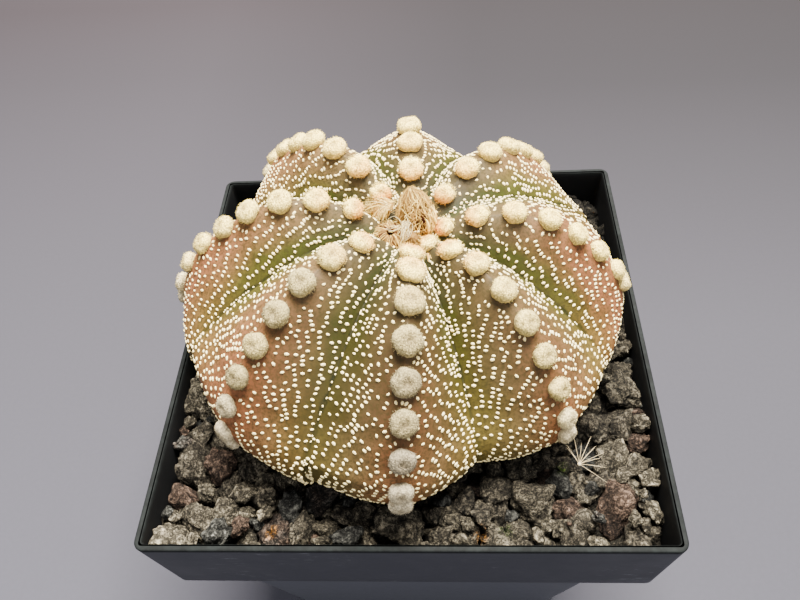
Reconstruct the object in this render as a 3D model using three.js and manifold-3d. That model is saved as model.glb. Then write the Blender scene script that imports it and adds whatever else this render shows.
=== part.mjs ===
// Potted star cactus: an eight-ribbed stem with woolly areoles and white flecks, in a square
// nursery pot filled with lava gravel. Millimetres, +Z up. The origin is the centre of the pot's
// base, -Y is the front. Each mesh is one closed solid.
import * as THREE from "three";
import { mergeVertices } from "three/addons/utils/BufferGeometryUtils.js";
import Module from "manifold-3d";

const solids = await Module();
solids.setup();

// Pot: outer sizes, and the one wall thickness of a thin moulding
const POT_HEIGHT = 71;
const RIM_WIDTH = 90;
const COLLAR_FOOT_WIDTH = 86.8;
const COLLAR_HEIGHT = 20.3;
const BODY_TOP_WIDTH = 80;
const BASE_WIDTH = 64;
const RIM_CORNER = 1.8;
const BODY_CORNER = 4.5;
const BASE_CORNER = 6;
const WALL = 1.2;
const FLOOR = 1.8;
const LIP_EDGE = 0.35;
const FOOT_BAND = 7;
const FOOT_LIFT = 1.2;
const FOOT_CORNER = 1.5;
const FLOOR_TOP = FOOT_LIFT + FLOOR;
const DRAIN_RADIUS = 4;
const DRAIN_SPACING = 13;
const DRAIN_CUT = 4 * FLOOR;
const DRAIN_SIDES = 16;
const CORNER_STEPS = 3;

// Stem: its centre stands a little above the rim, and it leans a few degrees to the right
const STEM_CENTRE = new THREE.Vector3(0.4, 2.6, POT_HEIGHT + 5);
const STEM_LEAN = THREE.MathUtils.degToRad(4.5);
// Distance from the stem's centre at each angle down from its top, along a crest and in a groove
const CREST_OUTLINE = [
  [0, 17], [15, 21.2], [30, 28.7], [45, 33.7], [60, 36.6], [75, 40.2], [90, 41.9], [105, 36.6],
  [122, 28.5], [140, 23], [160, 20], [180, 19.5],
];
const GROOVE_OUTLINE = [
  [0, 17], [20, 21], [40, 25.3], [60, 29.8], [75, 34.9], [90, 40.4], [105, 35],
  [122, 27.7], [140, 22.5], [160, 19.8], [180, 19.5],
];
// Each rib's crest heading, its reach beside the outline, its topmost areole's angle, and then the
// heading and reach of the groove on its left
const RIBS = [
  { crest: -91, reach: 0.99, topAreole: 21, groove: -70.5, grooveReach: 0.875 },
  { crest: -47.5, reach: 0.93, topAreole: 12, groove: -22, grooveReach: 0.955 },
  { crest: -1, reach: 0.965, topAreole: 16, groove: 26.5, grooveReach: 1.07 },
  { crest: 47.5, reach: 0.985, topAreole: 21, groove: 71, grooveReach: 1 },
  { crest: 92.5, reach: 0.965, topAreole: 16.5, groove: 112, grooveReach: 1 },
  { crest: 136, reach: 1.02, topAreole: 20, groove: 156.5, grooveReach: 0.955 },
  { crest: 180.5, reach: 1.03, topAreole: 23.5, groove: 201, grooveReach: 1.065 },
  { crest: 225, reach: 1.015, topAreole: 26, groove: 246.5, grooveReach: 1.045 },
];
// The ribs are alike above the crown blend, and again below the foot fade
const CROWN_BLEND = 25;
const FOOT_FADE = [110, 150];
const FACE_BULGE = 1.35;
const SHALLOWEST_GROOVE = 0.7;
const RIB_STEPS = 3;
const STEM_ROWS = [8, 17, 26, 35, 44, 53, 62, 70, 77, 84, 90, 96, 102, 110, 122, 140, 162];

// Areoles: round woolly buttons, smaller and flatter down the rib
const AREOLE_SPACING = 6.1;
const AREOLE_RADIUS = 2.6;
const AREOLE_SHRINK = 0.7;
const AREOLE_HEIGHT = 2.1;
const AREOLE_SINK = 1;
const AREOLE_SIDES = 6;
const AREOLE_ROOT = 0.8;
const AREOLE_PROFILE = [[1, 0.35], [0.68, 0.92]];
const AREOLE_DIMPLE = 0.86;
const AREOLE_WALK = 0.25;
const AREOLE_FLATTEN = 0.2;
const LOWEST_AREOLE = POT_HEIGHT + 1.8;

// White flecks: low tufts in strings that run from the crest down and out to the groove
const FLECK_LENGTH = 1.5;
const FLECK_WIDTH = 1.1;
const FLECK_HEIGHT = 0.45;
const FLECK_SINK = 0.7;
const FLECK_STRINGS = 5;
const FLECKS_PER_STRING = 3;
const FLECK_TOP_ANGLE = 26;
const FLECK_FOOT_ANGLE = 86;
const FLECK_SWEEP = 9;
const FLECK_SPIN = [0.5, 1.1];
const FLECK_UNEVEN = 0.3;
const FLECK_STRAY = 2;
const GROOVE_MARGIN = 0.8;

// Gravel: a bed inside the pot with crushed stones sunk into its top
const GRAVEL_GAP = 0.3;
// The stem's hole in the gravel has fewer facets than the stem, so it is cut wider than the gap
const STEM_GAP = 1.1;
const HOLE_ROWS = [75, 88, 96, 104, 112, 122, 140, 162];
const HOLE_RIB_STEPS = 2;
const BED_BELOW_STONES = 0.2;
const BED_STRIPS = 9;
const DIP_FROM_Y = -16;
const DIP_TO_Y = 8;
const STONE_PITCH = 7.6;
const STONE_ROW_PITCH = 0.9 * STONE_PITCH;
const STONE_RADIUS = 4.3;
const STONE_LEVEL = POT_HEIGHT - 6.4;
const STONE_SHIFT = 2.4;
const STONE_UNEVEN = 1.8;
const STONE_SIZES = [0.75, 1.15];
const STONE_BULGE = [0.82, 1.14];
const STONE_STRETCH = [[1.05, 1.3], [0.9, 1.05], [0.8, 0.95]];
const UNDER_STEM = 27;
const BACK_DIP = 3.4;

// Withered flowers and wool in the crown, and the fallen star of spines on the gravel
const CROWN_CENTRE = new THREE.Vector3(1.7, 2.6, POT_HEIGHT + 22);
const STRAND_THICKNESS = 0.45;
const CROWN_GAP = 0.7;
const CORE_WIDTH = 0.66;
const CORE_HALF_HEIGHT = 0.46;
const STRAND_ROOT_OUT = 0.4;
const STRAND_REACH = [0.85, 1];
const STRAND_TIP_OUT = 0.8;
const STRAND_TIP_TURN = 0.3;
// A strand's root, bend and tip lie at these shares of the lump's height, from the lowest strand to
// the highest
const ROOT_HEIGHTS = [0.12, 0.72];
const BEND_HEIGHTS = [0.3, 0.8];
const TIP_HEIGHTS = [0.57, 0.97];
const ROOM_HALF_HEIGHT = 0.62;
const GOLDEN_TURN = Math.PI * (3 - Math.sqrt(5));
const SPINE_COUNT = 8;
const SPINE_LENGTH = 5;
const SPINE_SIZES = [0.75, 1.15];
const SPINE_RISE = [0.5, 1.5];
const SPINE_THICKNESS = 0.5;
const SPINE_FIRST_TURN = -0.65;
const SPINE_FAN = 2.5;
const SPINE_HUB_RADIUS = 0.7;
const SPINE_PLACE = new THREE.Vector2(30.1, -28.3);
const SPINE_DROP = 0.05;

// Joining and cutting closed meshes

function toSolid(geometry) {
  const bare = new THREE.BufferGeometry();
  bare.setAttribute("position", geometry.getAttribute("position"));
  bare.setIndex(geometry.getIndex());
  const merged = mergeVertices(bare, 1e-4);
  const mesh = new solids.Mesh({
    numProp: 3,
    vertProperties: new Float32Array(merged.getAttribute("position").array),
    triVerts: new Uint32Array(merged.getIndex().array),
  });
  return new solids.Manifold(mesh);
}

function toGeometry(solid) {
  const mesh = solid.getMesh();
  const geometry = new THREE.BufferGeometry();
  geometry.setAttribute("position", new THREE.BufferAttribute(mesh.vertProperties, 3));
  geometry.setIndex(new THREE.BufferAttribute(mesh.triVerts, 1));
  geometry.computeVertexNormals();
  return geometry;
}

function joined(parts) {
  let level = parts;
  while (level.length > 1) {
    const next = [];
    for (let i = 0; i < level.length; i += 2) {
      next.push(i + 1 < level.length ? level[i].add(level[i + 1]) : level[i]);
    }
    level = next;
  }
  return level[0];
}

// Cutting can leave loose scraps, and joining can seal a hollow: only the main body is kept
function largestBody(solid) {
  const bodies = solid.decompose();
  bodies.sort((a, b) => b.volume() - a.volume());
  return bodies[0];
}

// A closed skin over a stack of rings with equal point counts, drawn together to a pole at each end.
// Rings run anticlockwise seen from the last pole.
function skin(firstPole, rings, lastPole) {
  const count = rings[0].length;
  const points = [firstPole, ...rings.flat(), lastPole];
  const index = [];
  const last = points.length - 1;
  for (let j = 0; j < count; j += 1) {
    const k = (j + 1) % count;
    index.push(0, 1 + k, 1 + j);
    for (let i = 0; i + 1 < rings.length; i += 1) {
      const a = 1 + i * count;
      const b = a + count;
      index.push(a + j, a + k, b + k, a + j, b + k, b + j);
    }
    const top = 1 + (rings.length - 1) * count;
    index.push(last, top + j, top + k);
  }
  const geometry = new THREE.BufferGeometry().setFromPoints(points);
  geometry.setIndex(index);
  return geometry;
}

// The same run of numbers every time, from 0 up to 1
function seededRandom(seed) {
  let state = seed;
  return () => {
    state = (state * 1664525 + 1013904223) % 4294967296;
    return state / 4294967296;
  };
}

function between(random, [least, most]) {
  return least + (most - least) * random();
}

// A smooth curve through [place, value] points
function smoothValue(points, place) {
  let i = 0;
  while (i < points.length - 2 && place > points[i + 1][0]) i += 1;
  const [x0, y0] = points[i];
  const [x1, y1] = points[i + 1];
  const before = points[Math.max(i - 1, 0)];
  const after = points[Math.min(i + 2, points.length - 1)];
  const span = x1 - x0;
  const slope0 = ((y1 - before[1]) / (x1 - before[0])) * span;
  const slope1 = ((after[1] - y0) / (after[0] - x0)) * span;
  const t = (place - x0) / span;
  return (2 * t ** 3 - 3 * t ** 2 + 1) * y0 + (t ** 3 - 2 * t ** 2 + t) * slope0
    + (3 * t ** 2 - 2 * t ** 3) * y1 + (t ** 3 - t ** 2) * slope1;
}

function smoothStep(from, to, value) {
  return THREE.MathUtils.smoothstep(value, from, to);
}

// Pot

function roundedSquare(width, corner, z) {
  const ring = [];
  const half = width / 2 - corner;
  for (let quarter = 0; quarter < 4; quarter += 1) {
    const start = quarter * Math.PI / 2;
    const signs = [[1, 1], [-1, 1], [-1, -1], [1, -1]][quarter];
    for (let step = 0; step <= CORNER_STEPS; step += 1) {
      const angle = start + (step / CORNER_STEPS) * Math.PI / 2;
      ring.push(new THREE.Vector3(
        signs[0] * half + corner * Math.cos(angle),
        signs[1] * half + corner * Math.sin(angle),
        z,
      ));
    }
  }
  return ring;
}

// The pot's outer width and corner at each height: taper, step under the collar, collar
const COLLAR_FOOT = POT_HEIGHT - COLLAR_HEIGHT;
const OUTSIDE = [
  [BASE_WIDTH, BASE_CORNER, 0],
  [BODY_TOP_WIDTH, BODY_CORNER, COLLAR_FOOT],
  [COLLAR_FOOT_WIDTH, RIM_CORNER, COLLAR_FOOT + WALL / 2],
  [RIM_WIDTH, RIM_CORNER, POT_HEIGHT - LIP_EDGE],
];

function potRings() {
  const recess = BASE_WIDTH - 2 * FOOT_BAND;
  const rings = [roundedSquare(recess, FOOT_CORNER, FOOT_LIFT)];
  rings.push(roundedSquare(recess + FOOT_LIFT, FOOT_CORNER, 0));
  rings.push(...OUTSIDE.map(([width, corner, z]) => roundedSquare(width, corner, z)));
  rings.push(roundedSquare(RIM_WIDTH - 2 * LIP_EDGE, RIM_CORNER, POT_HEIGHT));
  rings.push(roundedSquare(RIM_WIDTH - 2 * WALL, RIM_CORNER - WALL, POT_HEIGHT));
  return rings;
}

// Rings of the space inside the pot, drawn in by a gap
function insideRings(gap, top) {
  const shrink = 2 * (WALL + gap);
  const step = COLLAR_FOOT + 1.5 * WALL;
  const floorWidth = THREE.MathUtils.lerp(BASE_WIDTH, BODY_TOP_WIDTH, FLOOR_TOP / COLLAR_FOOT);
  return [
    roundedSquare(floorWidth - shrink, BASE_CORNER - WALL, FLOOR_TOP + gap),
    roundedSquare(BODY_TOP_WIDTH - shrink, BODY_CORNER - WALL, step + gap),
    roundedSquare(COLLAR_FOOT_WIDTH - shrink, RIM_CORNER - WALL, step + WALL / 2 + gap),
    roundedSquare(RIM_WIDTH - shrink, RIM_CORNER - WALL, top),
  ];
}

function potGeometry() {
  const inside = insideRings(0, POT_HEIGHT).slice(0, 3).reverse();
  const shell = skin(
    new THREE.Vector3(0, 0, FOOT_LIFT),
    [...potRings(), ...inside],
    new THREE.Vector3(0, 0, FLOOR_TOP),
  );
  const drains = [];
  for (const x of [-1, 0, 1]) {
    for (const y of [-1, 0, 1]) {
      if (Math.abs(x) + Math.abs(y) !== 1) {
        const drain = new THREE.CylinderGeometry(DRAIN_RADIUS, DRAIN_RADIUS, DRAIN_CUT, DRAIN_SIDES);
        drain.rotateX(Math.PI / 2);
        drain.translate(x * DRAIN_SPACING, y * DRAIN_SPACING, FLOOR);
        drains.push(toSolid(drain));
      }
    }
  }
  return toGeometry(toSolid(shell).subtract(joined(drains)));
}

// Stem

const CENTRE_LEAN = new THREE.Matrix4().makeRotationY(STEM_LEAN).setPosition(STEM_CENTRE);

// How far the rib's own reach applies at an angle: the ribs are alike where they meet in the crown
// and at the foot
function ownReach(reach, angle) {
  const crown = smoothStep(0, CROWN_BLEND, angle);
  const foot = 1 - smoothStep(FOOT_FADE[0], FOOT_FADE[1], angle);
  return 1 + (reach - 1) * crown * foot;
}

// Which crest and groove a heading lies between, and how far it is from crest (0) to groove (1)
function ribPlace(heading) {
  const first = RIBS[0].crest;
  const turned = THREE.MathUtils.euclideanModulo(heading - first, 360) + first;
  for (let i = 0; i < RIBS.length; i += 1) {
    const rib = RIBS[i];
    const next = RIBS[(i + 1) % RIBS.length];
    const nextCrest = next.crest + (i === RIBS.length - 1 ? 360 : 0);
    if (turned >= rib.crest && turned < rib.groove) {
      return { crest: rib, groove: rib, across: (turned - rib.crest) / (rib.groove - rib.crest) };
    }
    if (turned >= rib.groove && turned < nextCrest) {
      return { crest: next, groove: rib, across: (nextCrest - turned) / (nextCrest - rib.groove) };
    }
  }
  return { crest: RIBS[0], groove: RIBS[0], across: 0 };
}

// A point of the stem's surface at a heading and an angle down from the top, raised by grow
function stemPoint(heading, angle, grow = 0) {
  const { crest, groove, across } = ribPlace(heading);
  const high = smoothValue(CREST_OUTLINE, angle) * ownReach(crest.reach, angle);
  const depth = SHALLOWEST_GROOVE * smoothStep(0, CROWN_BLEND, angle);
  const groovePlace = smoothValue(GROOVE_OUTLINE, angle) * ownReach(groove.grooveReach, angle);
  const low = Math.min(groovePlace, high - depth);
  const size = low + (high - low) * (1 - across ** FACE_BULGE) + grow;
  const down = THREE.MathUtils.degToRad(angle);
  const turn = THREE.MathUtils.degToRad(heading);
  return new THREE.Vector3(
    size * Math.sin(down) * Math.cos(turn),
    size * Math.sin(down) * Math.sin(turn),
    size * Math.cos(down),
  ).applyMatrix4(CENTRE_LEAN);
}

function stemNormal(heading, angle) {
  const here = stemPoint(heading, angle);
  const beside = stemPoint(heading + 0.5, angle).sub(here);
  const below = stemPoint(heading, angle + 0.5).sub(here);
  return below.cross(beside).normalize();
}

function stemGeometry(grow, ribSteps = RIB_STEPS, rows = STEM_ROWS) {
  const headings = [];
  RIBS.forEach((rib, i) => {
    const next = RIBS[(i + 1) % RIBS.length].crest + (i === RIBS.length - 1 ? 360 : 0);
    for (let step = 0; step < ribSteps; step += 1) {
      headings.push(rib.crest + (step / ribSteps) * (rib.groove - rib.crest));
    }
    for (let step = 0; step < ribSteps; step += 1) {
      headings.push(rib.groove + (step / ribSteps) * (next - rib.groove));
    }
  });
  const rings = [...rows].reverse().map(
    (angle) => headings.map((heading) => stemPoint(heading, angle, grow)),
  );
  return skin(stemPoint(0, 180, grow), rings, stemPoint(0, 0, grow));
}

// Turn and move a shape that stands on the origin so that it stands on the stem
function seatOnStem(geometry, heading, angle, spin) {
  const normal = stemNormal(heading, angle);
  const along = stemPoint(heading, angle + 1).sub(stemPoint(heading, angle)).normalize();
  const side = new THREE.Vector3().crossVectors(normal, along).normalize();
  const seat = new THREE.Matrix4().makeBasis(along, side, normal);
  seat.setPosition(stemPoint(heading, angle));
  geometry.rotateZ(spin);
  geometry.applyMatrix4(seat);
  return geometry;
}

function circle(radius, sides, z) {
  const ring = [];
  for (let j = 0; j < sides; j += 1) {
    const turn = (j / sides) * Math.PI * 2;
    ring.push(new THREE.Vector3(radius * Math.cos(turn), radius * Math.sin(turn), z));
  }
  return ring;
}

// A woolly button: a low dome with a shallow dimple, its root below the skin
function areoleButton(radius, height) {
  const rings = [circle(AREOLE_ROOT * radius, AREOLE_SIDES, -AREOLE_SINK)];
  for (const [out, up] of AREOLE_PROFILE) {
    rings.push(circle(out * radius, AREOLE_SIDES, up * height));
  }
  const root = new THREE.Vector3(0, 0, -AREOLE_SINK);
  return skin(root, rings, new THREE.Vector3(0, 0, AREOLE_DIMPLE * height));
}

// Areoles sit at even distances down every crest until the gravel
function areoles(grow = 0) {
  const buttons = [];
  for (const rib of RIBS) {
    let angle = rib.topAreole;
    let last = stemPoint(rib.crest, angle);
    while (last.z > LOWEST_AREOLE) {
      const down = (angle / 90) ** 2;
      const radius = AREOLE_RADIUS - AREOLE_SHRINK * down + grow;
      const height = AREOLE_HEIGHT * (1 - AREOLE_FLATTEN * down) + grow;
      buttons.push(toSolid(seatOnStem(areoleButton(radius, height), rib.crest, angle, 0)));
      let next = last;
      while (next.distanceTo(last) < AREOLE_SPACING) {
        angle += AREOLE_WALK;
        next = stemPoint(rib.crest, angle);
      }
      last = next;
    }
  }
  return buttons;
}

// A fleck: a low three-sided tuft, longer than wide
function fleckTuft() {
  const root = new THREE.Vector3(0, 0, -FLECK_SINK);
  const tuft = skin(root, [circle(1, 3, 0)], new THREE.Vector3(0, 0, FLECK_HEIGHT));
  tuft.scale(FLECK_LENGTH / 2, FLECK_WIDTH / 2, 1);
  return tuft;
}

// Both sides of every crest carry the same number of strings
function flecks() {
  const random = seededRandom(11);
  const tufts = [];
  for (const rib of RIBS) {
    const before = RIBS[(RIBS.indexOf(rib) + RIBS.length - 1) % RIBS.length];
    const left = rib.groove - rib.crest;
    const right = THREE.MathUtils.euclideanModulo(rib.crest - before.groove, 360);
    for (const reach of [left, -right]) {
      for (let string = 0; string < FLECK_STRINGS; string += 1) {
        const part = string / (FLECK_STRINGS - 1);
        const start = FLECK_TOP_ANGLE + part * (FLECK_FOOT_ANGLE - FLECK_TOP_ANGLE);
        for (let n = 0; n < FLECKS_PER_STRING; n += 1) {
          const place = n + 1 + FLECK_UNEVEN * (random() - 0.5);
          const across = place / (FLECKS_PER_STRING + GROOVE_MARGIN);
          const angle = start + FLECK_SWEEP * across + FLECK_STRAY * (random() - 0.5);
          const heading = rib.crest + reach * across;
          const spin = Math.sign(reach) * between(random, FLECK_SPIN);
          tufts.push(toSolid(seatOnStem(fleckTuft(), heading, angle, spin)));
        }
      }
    }
  }
  return tufts;
}

function cactusGeometry() {
  return toGeometry(largestBody(joined([toSolid(stemGeometry(0)), ...areoles(), ...flecks()])));
}

// Gravel

// A crushed stone: a blunt, uneven block with twenty faces
function stone(radius, random) {
  const block = new THREE.IcosahedronGeometry(radius, 0);
  const merged = mergeVertices(block.deleteAttribute("normal").deleteAttribute("uv"), 1e-3);
  const place = merged.getAttribute("position");
  for (let i = 0; i < place.count; i += 1) {
    const bulge = between(random, STONE_BULGE);
    place.setXYZ(i, place.getX(i) * bulge, place.getY(i) * bulge, place.getZ(i) * bulge);
  }
  merged.scale(...STONE_STRETCH.map((range) => between(random, range)));
  merged.rotateX(random() * 2 * Math.PI);
  merged.rotateZ(random() * 2 * Math.PI);
  return merged;
}

// The dressing lies lower towards the back of the pot
function stoneLevel(y) {
  return STONE_LEVEL - BACK_DIP * smoothStep(DIP_FROM_Y, DIP_TO_Y, y);
}

function stones() {
  const random = seededRandom(29);
  const half = RIM_WIDTH / 2 - WALL;
  const blocks = [];
  let row = 0;
  for (let y = -half + 1; y <= half; y += STONE_ROW_PITCH) {
    for (let x = -half + (row % 2) * STONE_PITCH / 2; x <= half; x += STONE_PITCH) {
      const block = stone(STONE_RADIUS * between(random, STONE_SIZES), random);
      const px = x + STONE_SHIFT * (random() - 0.5);
      const py = y + STONE_SHIFT * (random() - 0.5);
      block.translate(px, py, stoneLevel(py) + STONE_UNEVEN * (random() - 0.5));
      if (Math.hypot(px - STEM_CENTRE.x, py - STEM_CENTRE.y) > UNDER_STEM) {
        blocks.push(toSolid(block));
      }
    }
    row += 1;
  }
  return blocks;
}

// The bed's top follows the level of the stones
function bed() {
  const block = new THREE.BoxGeometry(RIM_WIDTH, RIM_WIDTH, POT_HEIGHT, 1, BED_STRIPS, 1);
  block.translate(0, 0, POT_HEIGHT / 2);
  const place = block.getAttribute("position");
  for (let i = 0; i < place.count; i += 1) {
    if (place.getZ(i) > 0) place.setZ(i, stoneLevel(place.getY(i)) - BED_BELOW_STONES);
  }
  return toSolid(block);
}

function gravelGeometry() {
  const rings = insideRings(GRAVEL_GAP, POT_HEIGHT + 1);
  const envelope = toSolid(skin(
    new THREE.Vector3(0, 0, rings[0][0].z), rings, new THREE.Vector3(0, 0, POT_HEIGHT + 1),
  ));
  const heap = joined([bed(), ...stones()]);
  const hole = toSolid(stemGeometry(STEM_GAP, HOLE_RIB_STEPS, HOLE_ROWS));
  return toGeometry(largestBody(heap.intersect(envelope).subtract(hole)));
}

// Crown: each piece is a woolly core with withered strands that stand out of it

// A strand: a three-sided blade from its root over a bend to its tip
function strand(root, bend, tip, thickness) {
  const along = new THREE.Vector3().subVectors(tip, root).normalize();
  const side = new THREE.Vector3(-along.y, along.x, 0.02).cross(along).normalize();
  const up = new THREE.Vector3().crossVectors(along, side);
  const ringAt = (place, size) => [0, 1, 2].map((corner) => {
    const turn = (corner / 3) * Math.PI * 2;
    return place.clone()
      .addScaledVector(side, size * Math.cos(turn))
      .addScaledVector(up, size * Math.sin(turn));
  });
  const heel = root.clone().addScaledVector(along, -thickness);
  return skin(heel, [ringAt(root, thickness), ringAt(bend, 0.7 * thickness)], tip);
}

function ellipsoid(size, detail) {
  const core = new THREE.IcosahedronGeometry(1, detail);
  core.scale(size.x, size.y, size.z);
  return core;
}

function stand(geometry, { foot, lean }) {
  geometry.rotateX(lean.x);
  geometry.rotateY(lean.y);
  geometry.translate(foot.x, foot.y, foot.z);
  return geometry;
}

// The core fills the lower part of the lump, and the strands rise from it in a spiral
function shaggyLump(lump) {
  const random = seededRandom(lump.seed);
  const { x, y, z } = lump.size;
  const half = new THREE.Vector3(CORE_WIDTH * x, CORE_WIDTH * y, CORE_HALF_HEIGHT * z);
  const core = ellipsoid(half, 1);
  core.translate(0, 0, half.z);
  const parts = [toSolid(stand(core, lump))];
  for (let i = 0; i < lump.strands; i += 1) {
    const turn = i * GOLDEN_TURN;
    const rise = i / lump.strands;
    const out = between(random, STRAND_REACH);
    const at = (reach, angle, [low, high]) => new THREE.Vector3(
      reach * x * Math.cos(angle),
      reach * y * Math.sin(angle),
      z * THREE.MathUtils.lerp(low, high, rise),
    );
    const root = at(STRAND_ROOT_OUT, turn, ROOT_HEIGHTS);
    const bend = at(out, turn, BEND_HEIGHTS);
    const tip = at(STRAND_TIP_OUT * out, turn + STRAND_TIP_TURN, TIP_HEIGHTS);
    parts.push(toSolid(stand(strand(root, bend, tip, STRAND_THICKNESS), lump)));
  }
  return joined(parts);
}

// The room that a lump takes up, so that its neighbour stays clear of it
function lumpRoom(lump) {
  const half = lump.size.clone().addScalar(CROWN_GAP).setZ(ROOM_HALF_HEIGHT * lump.size.z);
  const room = ellipsoid(half, 2);
  room.translate(0, 0, lump.size.z / 2);
  return toSolid(stand(room, lump));
}

// The stem and its areoles, a little larger, are kept clear of what sits in the crown
const crownRoom = joined([toSolid(stemGeometry(CROWN_GAP)), ...areoles(CROWN_GAP)]);

function crownPiece(lump, neighbours) {
  let piece = shaggyLump(lump).subtract(crownRoom);
  for (const neighbour of neighbours) {
    piece = piece.subtract(lumpRoom(neighbour));
  }
  return toGeometry(largestBody(piece));
}

const TALL_FLOWER = {
  foot: CROWN_CENTRE.clone().add(new THREE.Vector3(1, 1.2, -0.8)),
  size: new THREE.Vector3(3.3, 3.1, 11),
  lean: new THREE.Vector2(-0.3, -0.12),
  strands: 20,
  seed: 3,
};
const LOW_FLOWER = {
  foot: CROWN_CENTRE.clone().add(new THREE.Vector3(-3.5, -1.3, 0.8)),
  size: new THREE.Vector3(2.9, 2.9, 6.6),
  lean: new THREE.Vector2(0.1, -0.12),
  strands: 16,
  seed: 8,
};
const WOOL = {
  foot: CROWN_CENTRE.clone().add(new THREE.Vector3(-4.4, 4.4, 3.2)),
  size: new THREE.Vector3(2.5, 2.7, 5.6),
  lean: new THREE.Vector2(0.1, -0.1),
  strands: 14,
  seed: 14,
};

// Fallen spines: dry spines still joined at their base, lying on the stones

// The height at which the star, let down onto the gravel, first lies on a stone
function restHeight(star, gravel) {
  const ground = toSolid(gravel);
  const touches = (z) => {
    const lowered = star.translate([SPINE_PLACE.x, SPINE_PLACE.y, z]);
    return !lowered.intersect(ground).isEmpty();
  };
  let z = POT_HEIGHT;
  while (!touches(z - SPINE_DROP)) z -= SPINE_DROP;
  return z - SPINE_DROP + GRAVEL_GAP;
}

function fallenSpines(gravel) {
  const random = seededRandom(5);
  const parts = [toSolid(new THREE.IcosahedronGeometry(SPINE_HUB_RADIUS, 0))];
  for (let i = 0; i < SPINE_COUNT; i += 1) {
    const turn = SPINE_FIRST_TURN + (i / (SPINE_COUNT - 1)) * SPINE_FAN;
    const reach = SPINE_LENGTH * between(random, SPINE_SIZES);
    const rise = between(random, SPINE_RISE);
    const root = new THREE.Vector3(0, 0, 0);
    const bend = new THREE.Vector3(
      0.5 * reach * Math.cos(turn), 0.5 * reach * Math.sin(turn), 0.6 * rise,
    );
    const tip = new THREE.Vector3(reach * Math.cos(turn), reach * Math.sin(turn), rise);
    parts.push(toSolid(strand(root, bend, tip, SPINE_THICKNESS / 2)));
  }
  const star = joined(parts);
  return toGeometry(star.translate([SPINE_PLACE.x, SPINE_PLACE.y, restHeight(star, gravel)]));
}

// Assembly

function named(name, geometry, color, roughness) {
  const material = new THREE.MeshStandardMaterial({ color, roughness, metalness: 0 });
  const mesh = new THREE.Mesh(geometry, material);
  mesh.name = name;
  return mesh;
}

const gravel = gravelGeometry();
const part = new THREE.Group();
part.add(named("pot", potGeometry(), 0x1d1e20, 0.45));
part.add(named("lava_gravel", gravel, 0x5e544d, 0.95));
part.add(named("cactus", cactusGeometry(), 0x8f7a3e, 0.7));
part.add(named("dried_flower_tall", crownPiece(TALL_FLOWER, []), 0xa88654, 0.95));
part.add(named("dried_flower_low", crownPiece(LOW_FLOWER, [TALL_FLOWER]), 0xb49160, 0.95));
part.add(named("wool_tuft", crownPiece(WOOL, [TALL_FLOWER, LOW_FLOWER]), 0xe6d8a8, 0.95));
part.add(named("fallen_spines", fallenSpines(gravel), 0xe4dcc4, 0.7));
export default part;
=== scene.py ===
"""The finish of a potted star cactus: an eight-ribbed stem with felted areoles and white flecks,
dried flowers in its crown, crushed lava round its foot, and a square black nursery pot.
Metres, +Z up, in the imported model's frame. Sizes below are given in millimetres and placed by MM.
"""

import bpy
import numpy as np
from mathutils import Matrix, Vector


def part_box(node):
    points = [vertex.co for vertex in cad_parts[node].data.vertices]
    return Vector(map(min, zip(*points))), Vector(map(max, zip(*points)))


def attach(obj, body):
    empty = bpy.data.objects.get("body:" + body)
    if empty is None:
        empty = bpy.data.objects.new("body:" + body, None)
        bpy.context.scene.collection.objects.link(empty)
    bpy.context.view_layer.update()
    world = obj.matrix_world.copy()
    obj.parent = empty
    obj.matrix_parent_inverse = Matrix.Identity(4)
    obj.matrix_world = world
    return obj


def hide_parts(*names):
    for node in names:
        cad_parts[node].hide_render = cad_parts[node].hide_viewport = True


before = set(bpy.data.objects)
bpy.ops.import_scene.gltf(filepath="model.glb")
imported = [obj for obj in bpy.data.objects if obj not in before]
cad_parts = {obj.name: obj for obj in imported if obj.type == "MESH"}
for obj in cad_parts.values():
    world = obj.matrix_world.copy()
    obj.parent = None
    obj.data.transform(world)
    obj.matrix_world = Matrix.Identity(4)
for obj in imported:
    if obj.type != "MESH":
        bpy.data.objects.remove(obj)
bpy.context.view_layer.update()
MM = 0.001


# The stage: a plain table top, one broad soft light overhead at the back right, a weaker one in
# front at the right, and the room's own light. The camera looks down on the pot from the front, a
# little turned.

EYE = (8.89, -87.92, 187.88)
LOOK_TURN = -6.61
LOOK_DOWN = 50.76
LOOK_ROLL = -6.37
FOCAL_WIDTHS = 738.1 / 800
SENSOR = 36.0
NEAREST_SEEN = 0.01
POT_MIDDLE = (0.0, 0.0, 0.07)
ROOM_LIGHT = (0.80, 0.82, 0.88)


def look(turn, down, roll):
    """The camera's axes as columns: right, up and back. The view direction is turned from +Y about
    the vertical and dipped, and the picture is then rolled about it."""
    turn, down, roll = np.radians([turn, down, roll])
    ahead = np.array([np.sin(turn) * np.cos(down), np.cos(turn) * np.cos(down), -np.sin(down)])
    right = np.array([np.cos(turn), -np.sin(turn), 0])
    up = np.cross(right, ahead)
    across = np.cos(roll) * right + np.sin(roll) * up
    upright = np.cos(roll) * up - np.sin(roll) * right
    return np.stack([across, upright, -ahead], axis=1)


lens = bpy.data.cameras.new("camera")
lens.sensor_width = SENSOR
lens.lens = FOCAL_WIDTHS * SENSOR
lens.clip_start = NEAREST_SEEN
camera = bpy.data.objects.new("camera", lens)
bpy.context.scene.collection.objects.link(camera)
camera.matrix_world = Matrix.Translation(np.array(EYE) * MM) @ Matrix(
    look(LOOK_TURN, LOOK_DOWN, LOOK_ROLL).tolist()
).to_4x4()
bpy.context.scene.camera = camera


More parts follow.
